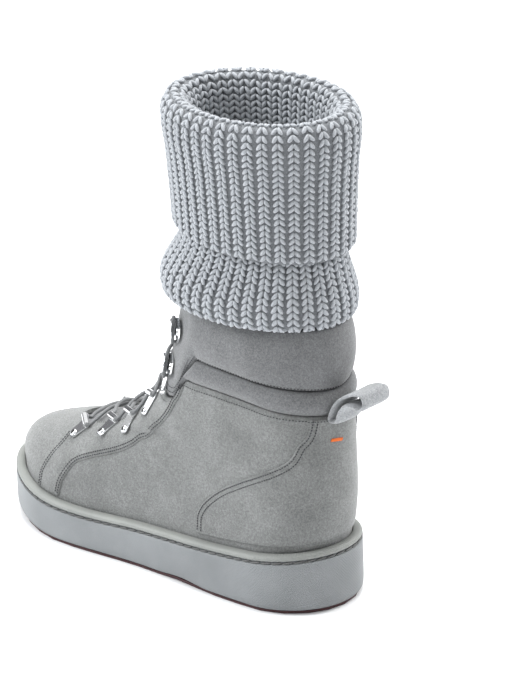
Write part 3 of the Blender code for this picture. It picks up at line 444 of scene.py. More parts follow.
def on_top(side, station, breadth):
    """Column and level of the instep or tab at a station and a distance from its middle."""
    levels = np.linspace(0.25, 0.9, 66)
    stations = []
    arcs_there = []
    for level in levels:
        points, arcs = half_outline(side, level)
        away = abs(points[:, 1] - points[0, 1])
        i = max(int(np.argmax(away >= breadth)), 1)
        share = (breadth - away[i - 1]) / (away[i] - away[i - 1])
        stations.append(points[i - 1, 0] + share * (points[i, 0] - points[i - 1, 0]))
        arcs_there.append(arcs[i - 1] + share * (arcs[i] - arcs[i - 1]))
    level = float(np.interp(-station, -np.array(stations), levels))
    arc = float(np.interp(level, levels, arcs_there))
    return column_of_arc(arc, level, half_outline(side, level)[1]), level


def lace_hook_ends(side, rivet, tube_station):
    collar_front = COLLAR_CENTRE + COLLAR_LENGTH / 2
    reach = HOOK_LENGTH / 4
    foot = (side, *on_top(side, collar_front + rivet * SOLE_LENGTH, HOOK_LINE + reach))
    head = (side, *on_top(side, collar_front + tube_station * SOLE_LENGTH, HOOK_LINE - reach))
    return foot, head


def tab_height(share):
    return TAB_FOOT_HEIGHT + (COLLAR_HEIGHT - TAB_FOOT_HEIGHT) * share


def speed_hook_ends(side, height):
    level = 0.8
    for _ in range(4):
        arcs = half_outline(side, level)[1]
        column = column_of_arc(SPEED_HOOK_LINE, level, arcs)
        level = level_at_height(side, column, tab_height(height))
    reach = SPEED_HOOK_LENGTH / 2
    foot = (side, column_of_arc(SPEED_HOOK_LINE + reach, level, arcs), level)
    head = (side, column_of_arc(SPEED_HOOK_LINE - reach, level, arcs), level)
    return foot, head


# ---------------------------------------------------------------- the fine form
FORM_LEVELS = 241
FORM_HALF = 221
RING = 2 * (FORM_HALF - 1)
LEVEL_AXIS = np.linspace(0, 1, FORM_LEVELS)
RING_AXIS = np.arange(RING) * 2 / RING
OVERLAY_TOP = 1.0 * MM


def unit(vectors):
    return vectors / (np.linalg.norm(vectors, axis=-1, keepdims=True) + 1e-12)


def form_table():
    """The upper's outer form on a fine grid: levels by places right round it.

    A place u runs from the front (0) along the lateral side to the back (1) and on along the
    medial side to the front again (2).
    """
    columns = np.linspace(0, 1, FORM_HALF)
    points = np.zeros((FORM_LEVELS, RING, 3))
    for i, level in enumerate(LEVEL_AXIS):
        for side in (LATERAL, MEDIAL):
            outline, arcs = half_outline(side, level)
            edge = throat_edge(level)
            rest = (columns - THROAT_SHARE) / (1 - THROAT_SHARE)
            behind = edge + (arcs[-1] - edge) * rest
            arc = np.where(rest <= 0, edge * columns / THROAT_SHARE, behind)
            line = np.stack([np.interp(arc, arcs, outline[:, k]) for k in range(3)], -1)
            if side == LATERAL:
                points[i, :FORM_HALF] = line
            else:
                points[i, FORM_HALF:] = line[-2:0:-1]
    across = np.roll(points, -2, 1) - np.roll(points, 2, 1)
    normals = unit(np.cross(across, np.gradient(points, axis=0)))
    for _ in range(4):
        normals = normals + np.roll(normals, 1, 1) + np.roll(normals, -1, 1)
        normals[1:-1] = normals[1:-1] + normals[:-2] + normals[2:]
        normals = unit(normals)
    return points, normals


FORM, NORMALS = form_table()


def sample(table, u, level):
    place = np.mod(u, 2.0) * (RING / 2)
    i = np.floor(place).astype(int)
    fu = (place - i)[..., None]
    height = np.clip(level, 0, 1) * (FORM_LEVELS - 1)
    j = np.minimum(np.floor(height).astype(int), FORM_LEVELS - 2)
    fv = (height - j)[..., None]
    i, k = i % RING, (i + 1) % RING
    low = table[j, i] * (1 - fu) + table[j, k] * fu
    high = table[j + 1, i] * (1 - fu) + table[j + 1, k] * fu
    return low * (1 - fv) + high * fv


def form(u, level, out=0.0):
    """Points at a distance outside (+) or inside (-) the upper's outer form."""
    u, level, out = np.broadcast_arrays(np.asarray(u, float), level, out)
    return sample(FORM, u, level) + form_normal(u, level) * out[..., None]


def form_normal(u, level):
    u, level = np.broadcast_arrays(np.asarray(u, float), level)
    return unit(sample(NORMALS, u, level))


def column_of(u):
    u = np.mod(u, 2.0)
    return np.where(u <= 1, u, 2 - u)


def ring_levels(height_of_column):
    """Level of a height at every place round the ring."""
    heights = [height_of_column(float(column_of(u))) for u in RING_AXIS]
    return np.array([np.interp(z, FORM[:, k, 2], LEVEL_AXIS) for k, z in enumerate(heights)])


STEP = ring_levels(step_height)
SEAM = ring_levels(seam_height)


def at_place(values, u):
    return np.interp(np.mod(u, 2.0), RING_AXIS, values, period=2)


def level_of(row, u):
    """Level of a row: 0 to 1 from the lip to the throat's foot, 1 to 2 on to the quarter's edge."""
    u = np.asarray(u, float)
    step = at_place(STEP, u)
    return np.where(row <= 1, THROAT_LEVEL * row, THROAT_LEVEL + (step - THROAT_LEVEL) * (row - 1))


def nearest_cell(point):
    """Level and ring index of the form's grid point nearest to a point."""
    gap = np.sum((FORM - point) ** 2, -1)
    return np.unravel_index(int(np.argmin(gap)), gap.shape)


def place_near(x, z):
    """Column of the lateral side nearest to a point seen from the side."""
    gap = (FORM[:, :FORM_HALF, 0] - x) ** 2 + (FORM[:, :FORM_HALF, 2] - z) ** 2
    return np.unravel_index(int(np.argmin(gap)), gap.shape)[1] / (FORM_HALF - 1)


# ---------------------------------------------------------------- meshes
def linked(name, data):
    obj = bpy.data.objects.new(name, data)
    bpy.context.collection.objects.link(obj)
    return obj


def make_mesh(name, points, faces, smooth_angle=50, tone=None):
    mesh = bpy.data.meshes.new(name)
    mesh.from_pydata(np.asarray(points).reshape(-1, 3).tolist(), [], faces)
    if tone is not None:
        layer = mesh.attributes.new("tone", "FLOAT", "POINT")
        layer.data.foreach_set("value", np.asarray(tone, np.float32).ravel())
    bm = bmesh.new()
    bm.from_mesh(mesh)
    bmesh.ops.delete(bm, geom=[v for v in bm.verts if not v.link_faces], context="VERTS")
    bmesh.ops.remove_doubles(bm, verts=bm.verts, dist=1e-6)
    bmesh.ops.recalc_face_normals(bm, faces=bm.faces)
    bm.to_mesh(mesh)
    bm.free()
    mesh.shade_smooth()
    mesh.set_sharp_from_angle(angle=math.radians(smooth_angle))
    return linked(name, mesh)


def shell(name, outer, inner, wrap=False, kept=None, tone=None, smooth_angle=50):
    """A closed wall between two grids of points, with open cells left out."""
    rows, columns = outer.shape[:2]
    size = rows * columns
    last = columns if wrap else columns - 1
    cells = np.ones((rows - 1, last), bool) if kept is None else kept
    faces = []
    index = lambda r, c: r * columns + c % columns
    for r in range(rows - 1):
        for c in range(last):
            if not cells[r, c]:
                continue
            a, b, d, e = index(r, c), index(r, c + 1), index(r + 1, c + 1), index(r + 1, c)
            faces.append((a, b, d, e))
            faces.append((size + e, size + d, size + b, size + a))
            left = cells[r, (c - 1) % last] if wrap or c > 0 else False
            right = cells[r, (c + 1) % last] if wrap or c < last - 1 else False
            below = cells[r - 1, c] if r > 0 else False
            above = cells[r + 1, c] if r < rows - 2 else False
            for there, p, q in ((below, a, b), (right, b, d), (above, d, e), (left, e, a)):
                if not there:
                    faces.append((q, p, size + p, size + q))
    if tone is not None:
        tone = np.concatenate([np.ravel(tone), np.ravel(tone)])
    both = np.concatenate([outer.reshape(-1, 3), inner.reshape(-1, 3)])
    return make_mesh(name, both, faces, smooth_angle, tone)


def grid_faces(rows, columns, closed=False):
    """Faces of a grid that runs round its columns, and round its rows too when it is closed."""
    return [
        tuple(
            (r + dr) % rows * columns + (c + dc) % columns
            for dr, dc in ((0, 0), (0, 1), (1, 1), (1, 0))
        )
        for r in range(rows if closed else rows - 1)
        for c in range(columns)
    ]


def grains(
    name, centres, along, across, outward, length, width, height, rings=3, sides=6, bend=0.0
):
    """Many small yarn lengths or stitches as one mesh. Sizes are half sizes."""
    centres = np.asarray(centres)
    count = len(centres)
    t = np.linspace(-0.82, 0.82, rings)
    r = np.sqrt(1 - t**2)
    angle = np.arange(sides) * 2 * math.pi / sides
    length, width, height, bend = [
        np.broadcast_to(np.asarray(v, float), (count,)) for v in (length, width, height, bend)
    ]

    def place(s, ring, a):
        return (
            centres
            + along * (s * length)[:, None]
            + across * (bend * s * s + width * ring * math.cos(a))[:, None]
            + outward * (height * ring * math.sin(a))[:, None]
        )

    verts = [place(-1.0, 0.0, 0.0)]
    verts += [place(s, ring, a) for s, ring in zip(t, r) for a in angle]
    verts.append(place(1.0, 0.0, 0.0))
    per = len(verts)
    points = np.stack(verts, 1).reshape(-1, 3)
    unit_faces = []
    for k in range(sides):
        m = (k + 1) % sides
        unit_faces.append((0, 1 + m, 1 + k))
        for j in range(rings - 1):
            a, b = 1 + j * sides, 1 + (j + 1) * sides
            unit_faces.append((a + k, a + m, b + m, b + k))
        top = 1 + (rings - 1) * sides
        unit_faces.append((top + k, top + m, per - 1))
    faces = [tuple(i * per + v for v in face) for i in range(count) for face in unit_faces]
    mesh = bpy.data.meshes.new(name)
    mesh.from_pydata(points.tolist(), [], faces)
    mesh.shade_smooth()
    return linked(name, mesh)


def tube_mesh(points, radius, sides=10):
    """A round cord along points."""
    points = np.asarray(points)
    way = unit(np.gradient(points, axis=0))
    guide = np.array([0.3, 0.2, 1.0])
    first = unit(np.cross(way, guide))
    second = np.cross(way, first)
    angle = (np.arange(sides) * 2 * math.pi / sides)[:, None]
    circles = first[:, None] * np.cos(angle) + second[:, None] * np.sin(angle)
    rings = points[:, None] + circles * radius
    count = len(points)
    faces = grid_faces(count, sides)
    faces.append(tuple(range(sides)))
    faces.append(tuple((count - 1) * sides + k for k in reversed(range(sides))))
    return rings.reshape(-1, 3), faces


def join(name, parts, smooth_angle=60):
    points = []
    faces = []
    for part_points, part_faces in parts:
        base = sum(len(p) for p in points)
        points.append(np.asarray(part_points))
        faces += [tuple(base + v for v in face) for face in part_faces]
    return make_mesh(name, np.concatenate(points), faces, smooth_angle)


def read_columns(at, stations, values):
    """Every column of a table read at places between its stations."""
    return np.stack([np.interp(at, stations, column) for column in values.T], -1)


def along_line(points, pitch):
    """Even places along a polyline: points and directions."""
    points = np.asarray(points)
    arc = arc_lengths(points)
    where = np.arange(pitch / 2, arc[-1], pitch)
    reach = pitch * 0.3
    there, ahead, behind = [
        read_columns(at, arc, points) for at in (where, where + reach, where - reach)
    ]
    return there, unit(ahead - behind), where / arc[-1]


def stitch_row(line, normals, pitch, length, radius, lift=0.28 * MM):
    """Stitches of one seam: centres, directions, sideways and outward vectors."""
    there, way, share = along_line(line, pitch)
    index = np.linspace(0, 1, len(normals))
    outward = unit(read_columns(share, index, normals))
    outward = unit(outward - way * np.sum(outward * way, -1, keepdims=True))
    return there + outward * lift, way, np.cross(outward, way), outward, length / 2, radius


# ---------------------------------------------------------------- the upper and its overlays
RNG = np.random.default_rng(11)
CLEAR = 0.008
SIDE_PLACES = 118
THROAT_PLACES = 6
LOW_ROWS = 40
HIGH_ROWS = 36
GROWTH_START = 0.14
GROWTH_LENGTH = 0.13
EDGE_ROLL = 1.1 * MM
FOOT_INSET = 1.0 * MM

# Soft troughs (-) and ridges (+) worn into the upper, seen from the side.
# Columns: side, x, height, direction (degrees), half length, half width, depth, all in mm
CREASES = (
    (1, -18, 98, 62, 34, 13, -1.7), (1, -44, 84, 40, 22, 12, -0.9), (1, -2, 76, 20, 9, 3.0, -0.7),
    (1, 8, 79, 28, 13, 4.5, 0.7), (1, -55, 62, -12, 34, 16, 1.0), (1, 60, 50, 70, 15, 5, -0.5),
    (1, 72, 50, 75, 15, 6, 0.5), (1, 30, 52, 20, 24, 9, 0.5), (1, -92, 112, 10, 26, 7, -0.6),
    (1, -96, 60, 80, 18, 8, -0.5), (-1, -18, 98, 60, 32, 12, -1.6),
    (-1, -46, 82, 35, 22, 12, -0.8), (-1, 62, 50, 72, 15, 5, -0.5), (-1, 74, 50, 75, 14, 5, 0.5),
    (-1, -58, 60, -8, 32, 15, 0.9), (-1, -92, 110, 10, 26, 8, -0.6),
)


def crease(points):
    """How far the upper stands out (+) or in (-) at points of its form."""
    out = np.zeros(points.shape[:-1])
    for side, x, z, turn, half_length, half_width, depth in CREASES:
        a = math.radians(turn)
        dx = points[..., 0] / MM - x
        dz = points[..., 2] / MM - z
        along = (dx * math.cos(a) + dz * math.sin(a)) / half_length
        across = (-dx * math.sin(a) + dz * math.cos(a)) / half_width
        on_side = 1 / (1 + np.exp(-side * points[..., 1] / (4 * MM)))
        out = out + depth * MM * np.exp(-(along**2) - across**2) * on_side
    return out


def dressed(u, level, out=0.0):
    """Points over the creased upper."""
    return form(u, level, out + crease(form(u, level)))


def foot_ring(u, out, height):
    """A ring round the foot, at a distance outside its lowest level and at a height."""
    points = form(u, np.zeros_like(u))
    way = form_normal(u, np.zeros_like(u)) * (1, 1, 0)
    points = points + unit(way) * out
    points[:, 2] = [height(x) for x in points[:, 0]]
    return points


def all_round(half):
    """Places right round the form from those of its lateral half."""
    return np.concatenate([half, 2 - half[-2:0:-1]])


def wall_depth(level, step):
    """Thickness of the upper's wall, which grows over these levels below the quarter's edge."""
    share = np.clip((level - step + GROWTH_START) / GROWTH_LENGTH, 0, 1)
    return WALL + (COLLAR_WALL - WALL) * share**2 * (3 - 2 * share)


def make_upper():
    throat = THROAT_SHARE * np.linspace(0, 1, THROAT_PLACES + 1)
    u = all_round(np.concatenate([throat, side_column(np.linspace(0, 1, SIDE_PLACES + 1)[1:])]))
    low = [k / LOW_ROWS for k in range(LOW_ROWS + 1)]
    high = [1 + k / HIGH_ROWS for k in range(1, HIGH_ROWS + 1)]
    outer = [foot_ring(u, -FOOT_INSET, lambda x: cup_floor(x) + GAP)]
    inner = [foot_ring(u, -FOOT_INSET - WALL, lambda x: cup_floor(x) + GAP)]
    step = at_place(STEP, u)
    for row in low + high:
        level = level_of(row, u)
        roll = 0.0
        if row > 1.9:
            roll = -EDGE_ROLL * ((row - 1.9) / 0.1) ** 2
        outer.append(dressed(u, level, roll))
        inner.append(form(u, level, -wall_depth(level, step)))
    sunk = -(COLLAR_WALL - LINING)
    for share in (0.0, 0.33, 0.66, 1.0):
        level = step + 0.004 + (1 - step - 0.004) * share
        outer.append(form(u, level, sunk))
        inner.append(form(u, level, -wall_depth(level, step)))
    outer = np.array(outer)
    inner = np.array(inner)
    kept = np.ones((len(outer) - 1, len(u)), bool)
    kept[len(low):, :THROAT_PLACES] = False
    kept[len(low):, -THROAT_PLACES:] = False
    return shell("upper_suede", outer, inner, True, kept)


def crossing(row, line, side):
    """Column where a row crosses a seam, or None where it misses the seam's stations."""
    line = np.asarray(line, float)
    order = np.argsort(line[:, 0])
    columns = np.linspace(0, 1, 241)
    u = columns if side == LATERAL else 2 - columns
    points = form(u, level_of(row, u))
    over = points[:, 2] - np.interp(points[:, 0], line[order, 0], line[order, 1])
    cross = np.nonzero((over[:-1] > 0) & (over[1:] <= 0))[0]
    if len(cross) == 0:
        return None
    i = cross[-1]
    if points[i, 0] < line[:, 0].min() - SEAM_REACH:
        return None
    share = over[i] / (over[i] - over[i + 1])
    return float(columns[i] + share * (columns[i + 1] - columns[i]))


def smooth_values(values, passes):
    """Inner values eased towards their neighbours, pass by pass."""
    values = np.asarray(values, float)
    for _ in range(passes):
        values[1:-1] = (values[:-2] + 2 * values[1:-1] + values[2:]) / 4
    return values


ROW_REACH = 55 * MM


def edge_steps(width, count):
    """Distances across a strip, close together near both rounded edges."""
    near = np.array([0.0, 0.15, 0.45, 0.9, 1.5]) * MM
    near = near[near < width / 2.2]
    middle = np.linspace(near[-1], width - near[-1], count - 2 * (5 - 1))
    edge = np.linspace(0, near[-1], 5)[:-1]
    return np.concatenate([edge, middle, width - edge[::-1]])


def round_edge(distance):
    share = np.clip(distance / (1.3 * MM), 0, 1)
    return -0.35 * MM + (OVERLAY_TOP + 0.35 * MM) * np.sqrt(np.clip(2 * share - share**2, 0, 1))


def overlay(name, rows, starts, ends, count):
    """A leather overlay with rounded edges, and a reader of lines that follow its edges."""
    outer = []
    inner = []
    reach = []
    for row, u0, u1 in zip(rows, starts, ends):
        fine = np.linspace(u0, u1, 200)
        points = dressed(fine, level_of(row, fine))
        arc = arc_lengths(points)
        reach.append((fine, arc))
        distance = edge_steps(arc[-1], count)
        u = np.interp(distance, arc, fine)
        level = level_of(row, u)
        out = round_edge(np.minimum(distance, arc[-1] - distance))
        out = np.minimum(out, round_edge((rows[-1] - row) * ROW_REACH))
        outer.append(dressed(u, level, out))
        inner.append(dressed(u, level, -0.9 * MM))
    obj = shell(name, np.array(outer), np.array(inner), smooth_angle=70)

    def edge_line(inset, first=0, last=None):
        """Points and normals at a distance inside the strip's start (+) or end (-) edge."""
        points = []
        normals = []
        for row, (fine, arc) in list(zip(rows, reach))[first:last]:
            where = inset if inset > 0 else arc[-1] + inset
            u = np.array([np.interp(where, arc, fine)])
            level = level_of(row, u)
            points.append(dressed(u, level, OVERLAY_TOP)[0])
            normals.append(form_normal(u, level)[0])
        return np.array(points), np.array(normals)

    return obj, edge_line


# Columns where the tabs' rear edge starts low down and ends at the bands' seam
TAB_START = place_near(-32 * MM, 132 * MM)
TAB_END = place_near(-47 * MM, 153 * MM)


def band_foot(u):
    """Lower edge of the upper band: low under the tabs, then along the bands' seam."""
    c = column_of(u)
    share = np.clip((c - TAB_START) / (TAB_END - TAB_START), 0, 1)
    step, seam = at_place(STEP, u), at_place(SEAM, u)
    return step + CLEAR + (seam - step - CLEAR / 2) * share


BAND_SINK = 3.2 * MM


def make_band(name, u, low, high, rows, puff, droop=0.0):
    """A padded band between two levels, with slow waves along it."""
    outer = []
    inner = []
    back = -(COLLAR_WALL - LINING) + 0.2 * MM
    wave = 0.25 * MM * np.sin(u * 23) + 0.18 * MM * np.sin(u * 41 + 1.3)
    for share in np.linspace(0, 1, rows + 1):
        level = low + (high - low) * share
        bulge = np.sin(math.pi * (0.04 + 0.92 * share ** (1 + droop))) ** 0.6
        out = -BAND_SINK + (puff + BAND_SINK - 1.5 * MM) * bulge + wave * math.sin(math.pi * share)
        outer.append(form(u, level, out))
        inner.append(form(u, level, back))
    return shell(name, np.array(outer), np.array(inner), smooth_angle=75)


def band_places(start, count):
    """Places round the collar from one tab to the other, close together along the tabs."""
    tab = np.linspace(start, TAB_END, count)
    return np.concatenate([tab[:-1], np.linspace(TAB_END, 2 - TAB_END, 150), 2 - tab[-2::-1]])


def make_bands():
    u = band_places(THROAT_SHARE, 50)
    low = band_foot(u) + CLEAR / 2
    upper = make_band("collar_band_upper", u, low, np.ones_like(u), 34, BAND_PUFF, -0.15)
    u = band_places(TAB_START + CLEAR / 2, 26)
    low = at_place(STEP, u) + CLEAR / 2
    high = np.maximum(np.minimum(at_place(SEAM, u), band_foot(u)) - CLEAR / 4, low + 0.002)
    lower = make_band("collar_band_lower", u, low, high, 20, BAND_PUFF - 0.8 * MM)
    return upper, lower


# How far behind the throat's edge the tongue reaches, and its lowest row
TONGUE_REACH = 0.17
TONGUE_FOOT = 0.78


def make_tongue():
    """The tongue: just under the throat, and behind the wall beside and below it."""
    beside = side_column(np.linspace(0, TONGUE_REACH, 8)[1:])
    half = np.concatenate([THROAT_SHARE * np.linspace(0, 1, 9), beside])
    u = np.concatenate([2 - half[::-1], half[1:]])
    outer = []
    inner = []
    step = at_place(STEP, u)
    c = column_of(u)
    stages = ((TONGUE_FOOT, 1, 8), (1, 2, 30), (2, 3, 26))
    rows = np.unique(np.concatenate([np.linspace(*stage) for stage in stages]))
    for row in rows:
        level = level_of(min(row, 2.0), u)
        if row > 2:
            level = step + (1 - step) * (row - 2)
        under = wall_depth(level, step) + TONGUE_GAP
        blend = np.clip((c / THROAT_SHARE - 0.72) / 0.28, 0, 1) if row > 1 else 1.0
        shown = TONGUE_GAP * (1 - blend) + under * blend
        outer.append(form(u, level, -shown))
        inner.append(form(u, level, -(under + TONGUE_THICKNESS)))
    return shell("tongue_suede", np.array(outer), np.array(inner), smooth_angle=70)


# ---------------------------------------------------------------- the sole
# Section of the sole. Columns, in mm: distance in from the wall, and above the underside ...
SOLE_FOOT = ((2.2, 0), (1.4, 0.25), (0.7, 1.0), (0.25, 2.2))
# ... or below the lip, over the stitch groove and the lip's round ...
SOLE_LIP = (
    (0.05, 6.0), (0.5, 5.7), (GROOVE_DEPTH / MM, 5.4), (GROOVE_DEPTH / MM + 0.2, 4.8),
    (GROOVE_DEPTH / MM, 4.2), (0.7, 3.8), (0.2, 3.3), (0.15, 2.4), (0.6, 1.3), (1.6, 0.5),
    (3.0, 0.15),
)
# ... and, at the cup's inner wall, outside the upper's gap and below the lip
SOLE_INNER = ((1.2, 0.1), (0.2, 0.4), (0.0, 1.4))
SOLE_WALL = (0.2, 0.4, 0.6, 0.8, 0.93)
FIRST_LIP_ROW = 15


def make_sole():
    base = TREAD_THICKNESS + GAP
    under = lambda rise: (lambda x: ground(x) + base + rise)
    top = lambda drop: (lambda x: lip(x) - drop)
    wall = lambda share: (
        lambda x: under(0)(x) * (1 - share) + top(SOLE_LIP[0][1] * MM)(x) * share
    )
    rows = [(LIP_WIDTH - a * MM, under(h * MM)) for a, h in SOLE_FOOT]
    rows += [(LIP_WIDTH, wall(share)) for share in SOLE_WALL]
    rows += [(LIP_WIDTH - a * MM, top(h * MM)) for a, h in SOLE_LIP]
    rows += [(GAP + a * MM, top(h * MM)) for a, h in SOLE_INNER]
    rows.append((GAP - FOOT_INSET, cup_floor))
    half = np.linspace(0, 1, 181)
    u = all_round(half)
    rings = np.array([foot_ring(u, out, height) for out, height in rows])
    count = len(u)
    faces = grid_faces(len(rows), count)
    for ring in (0, len(rows) - 1):
        for i in range(len(half) - 1):
            a, b = i, i + 1
            corners = [ring * count + k for k in (a, b, -(i + 1) % count, -i % count)]
            faces.append(tuple(dict.fromkeys(corners)))
    lightness = np.zeros((len(rows), count))
    lightness[FIRST_LIP_ROW:] = 1.0
    obj = make_mesh("cupsole_rubber", rings, faces, 55, lightness)
    groove = foot_ring(u, LIP_WIDTH - 0.95 * MM, top(4.9 * MM))
    outward = unit(form_normal(u, np.zeros_like(u)) * (1, 1, 0))
    return obj, groove, outward


# ---------------------------------------------------------------- the knitted shaft
RIBS = 39
RIB_STEPS = 8
KNIT_LEAF = 400
LEAF_HALF = KNIT_THICKNESS * 0.22
RIB_DEPTH = 0.5 * MM

STITCH_PITCH = 3.9 * MM

# Half a V stitch: degrees from the rib, distance from its middle, and half sizes
LEG_TILT = 33
LEG_ASIDE = 1.55 * MM
LEG_LENGTH = 2.75 * MM
LEG_WIDTH = 1.32 * MM
LEG_HEIGHT = 1.25 * MM
LEG_BEND = 0.35 * MM


def knit_path():
    sizes = (COLLAR_LENGTH / 2, COLLAR_WIDTH / 2, KNIT_RISE, COLLAR_LENGTH, KNIT_RISE)
    path = np.array(KNIT_PATH) * sizes
    along = arc_lengths(path[:, [0, 2]])
    where = np.linspace(0, along[-1], KNIT_LEAF)
    fine = np.stack([smooth(along, path[:, k], where) for k in range(5)], -1)
    return along, where, fine


KNIT_ALONG, KNIT_WHERE, KNIT_FINE = knit_path()


def knit_surface(distance, angle, out):
    """Points of the knit at a distance along its section, an angle round it and out of it."""
    distance, angle, out = np.broadcast_arrays(distance, angle, out)
    step = 0.4 * MM
    here, ahead, behind = [
        read_columns(at, KNIT_WHERE, KNIT_FINE)
        for at in (distance, distance + step, distance - step)
    ]
    length, width, height, shift, rise = np.moveaxis(here, -1, 0)
    du, dz = [(ahead - behind)[..., k] for k in (0, 2)]
    size = np.hypot(du, dz) + 1e-9
    side, up = dz / size * out, -du / size * out
    x = COLLAR_CENTRE + shift + (length + side) * np.cos(angle)
    y = COLLAR_LEAN + (width + side) * np.sin(angle)
    z = COLLAR_HEIGHT + height + up + rise * np.cos(angle)
    return np.stack([x, y, z], -1)


def even_angles(distance, count):
    """Angles round the knit that part one round into even lengths."""
    angle = np.linspace(0, 2 * math.pi, 721)
    ring = knit_surface(distance, angle, 0.0)
    arc = arc_lengths(ring)
    return np.interp(np.arange(count) * arc[-1] / count, arc, angle)


RIB_ANGLES = even_angles(KNIT_WHERE[KNIT_LEAF * 3 // 4], RIBS * RIB_STEPS)


def make_knit_base():
    distances = np.linspace(0, KNIT_WHERE[-1], 104)
    wave = np.cos(np.arange(RIBS * RIB_STEPS) * 2 * math.pi / RIB_STEPS)
    rows = []
    for sign, order in ((1, distances), (-1, distances[::-1])):
        for distance in order:
            rows.append(knit_surface(distance, RIB_ANGLES, sign * (LEAF_HALF + RIB_DEPTH * wave)))
    rows = np.array(rows)
    return make_mesh("knit_base", rows, grid_faces(*rows.shape[:2], closed=True), 80)


def knit_stitches(name, start, end, sign, lean, plump=1.0):
    """V stitches on the ribs between two distances along the section, on one of its faces."""
    legs = []
    count = max(int(abs(end - start) / STITCH_PITCH), 1)
    for row in range(count):
        for rib in range(RIBS):
            distance = start + (end - start) * (row + 0.5) / count + RNG.normal(0, 0.18 * MM)
            angle = RIB_ANGLES[rib * RIB_STEPS]
            here = knit_surface(distance, angle, 0.0)
            way = unit(knit_surface(distance + 0.5 * MM, angle, 0.0) - here)
            sideways = unit(knit_surface(distance, angle + 0.01, 0.0) - here)
            out = np.cross(sideways, way)
            out = out * np.sign(out @ (knit_surface(distance, angle, sign * MM) - here))
            for leg in (-1, 1):
                tilt = math.radians(LEG_TILT + RNG.normal(0, 4)) * leg * lean
                lift = LEAF_HALF + 1.0 * MM + RNG.normal(0, 0.08 * MM)
                centre = here + sideways * leg * LEG_ASIDE * plump + out * lift
                along = way * math.cos(tilt) + sideways * math.sin(tilt)
                across = sideways * math.cos(tilt) - way * math.sin(tilt)
                length = LEG_LENGTH * plump * (1 + RNG.normal(0, 0.04))
                legs.append((centre, along, across, out, length, LEG_BEND * leg))
    centres, along, across, outward, lengths, bends = [np.array(v) for v in zip(*legs)]
    width, height = LEG_WIDTH * plump, LEG_HEIGHT * plump
    return grains(name, centres, along, across, outward, lengths, width, height, 4, 6, bends)


# ---------------------------------------------------------------- pull loop, hooks and lace
def grid_solid(outer, inner):
    """Points and faces of a closed strip between two grids."""
    rows, columns = outer.shape[:2]
    size = rows * columns
    faces = []
    for r in range(rows - 1):
        for c in range(columns - 1):
            a, e = r * columns + c, (r + 1) * columns + c
            faces += [(a, a + 1, e + 1, e), (size + e, size + e + 1, size + a + 1, size + a)]
    rim = list(range(columns))
    rim += [r * columns + columns - 1 for r in range(1, rows)]
    rim += [(rows - 1) * columns + c for c in range(columns - 2, -1, -1)]
    rim += [r * columns for r in range(rows - 2, 0, -1)]
    for a, b in zip(rim, rim[1:] + rim[:1]):
        faces.append((b, a, size + a, size + b))
    return np.concatenate([outer.reshape(-1, 3), inner.reshape(-1, 3)]), faces


def closed_curve(points, count):
    """A smooth closed line through points."""
    points = np.asarray(points, float)
    around = np.concatenate([points[-3:], points, points[:3]])
    arc = arc_lengths(around[:, :2])
    start, end = arc[3], arc[3 + len(points)]
    where = np.linspace(start, end, count, endpoint=False)
    return np.stack([smooth(arc, around[:, k], where) for k in range(points.shape[1])], -1)


# Points along the strap and across one of its faces, and the points along it that show stitches
LOOP_STEPS = 84
LOOP_PLACES = 17
LOOP_SEWN = slice(4, 36)


def make_pull_loop():
    """The folded strap at the heel, and the lines of its stitches."""
    level = float(at_place(STEP, 1.0))
    anchor = form(1.0, level)
    heel = half_outline(LATERAL, level)[0][::-1][:120]
    heel_x, heel_y = heel[:, 0], heel[:, 1] - anchor[1]
    path = closed_curve(np.array(LOOP_PATH) * (LOOP_LENGTH, LOOP_LENGTH, 1), LOOP_STEPS)
    along = unit(np.roll(path[:, :2], -1, 0) - np.roll(path[:, :2], 1, 0))
    side = np.stack([along[:, 1], -along[:, 0]], -1)
    places = np.sin(np.linspace(-math.pi / 2, math.pi / 2, LOOP_PLACES)) / 2
    rings = []
    for (back, up, follow), way in zip(path, side):
        ring = []
        for sign, row in ((1, places), (-1, places[::-1])):
            for place in row:
                half = LOOP_THICKNESS / 2 * (max(1 - (2 * abs(place)) ** 8, 0.0)) ** 0.5
                off = place * LOOP_WIDTH
                shift = (np.interp(abs(off), heel_y, heel_x) - anchor[0]) * follow
                b, z = back + way[0] * sign * half, up + way[1] * sign * half
                ring.append((anchor[0] - b + shift, anchor[1] + off, anchor[2] + z))
        rings.append(ring)
    rings = np.array(rings)
    faces = grid_faces(*rings.shape[:2], closed=True)
    edges = []
    middle = rings[LOOP_SEWN, LOOP_PLACES // 2]
    out = middle - rings[LOOP_SEWN, LOOP_PLACES // 2 + LOOP_PLACES]
    for column in (1, LOOP_PLACES - 2):
        line = rings[LOOP_SEWN, column]
        across = unit(middle - line)
        normals = unit(np.cross(np.gradient(line, axis=0), across))
        normals = normals * np.sign(np.sum(normals * out, -1, keepdims=True))
        edges.append((line + across * 1.5 * MM, normals, *LOOP_THREAD))
    return make_mesh("pull_loop_strap", rings, faces, 80), edges


def place_of(side, column):
    return column if side == LATERAL else 2 - column


def hook_axes(foot, head, lift):
    """A hook's middle, its ways across and along the throat, and its way out."""
    side, column, level = [(a + b) / 2 for a, b in zip(foot, head)]
    u = place_of(side, column)
    outward = form_normal(u, level)
    across = dressed(place_of(side, head[1]), head[2]) - dressed(place_of(side, foot[1]), foot[2])
    across = unit(across - outward * (across @ outward))
    along = np.cross(outward, across)
    if along[0] > 0:
        along = -along
    return dressed(u, level, lift), across, along, outward


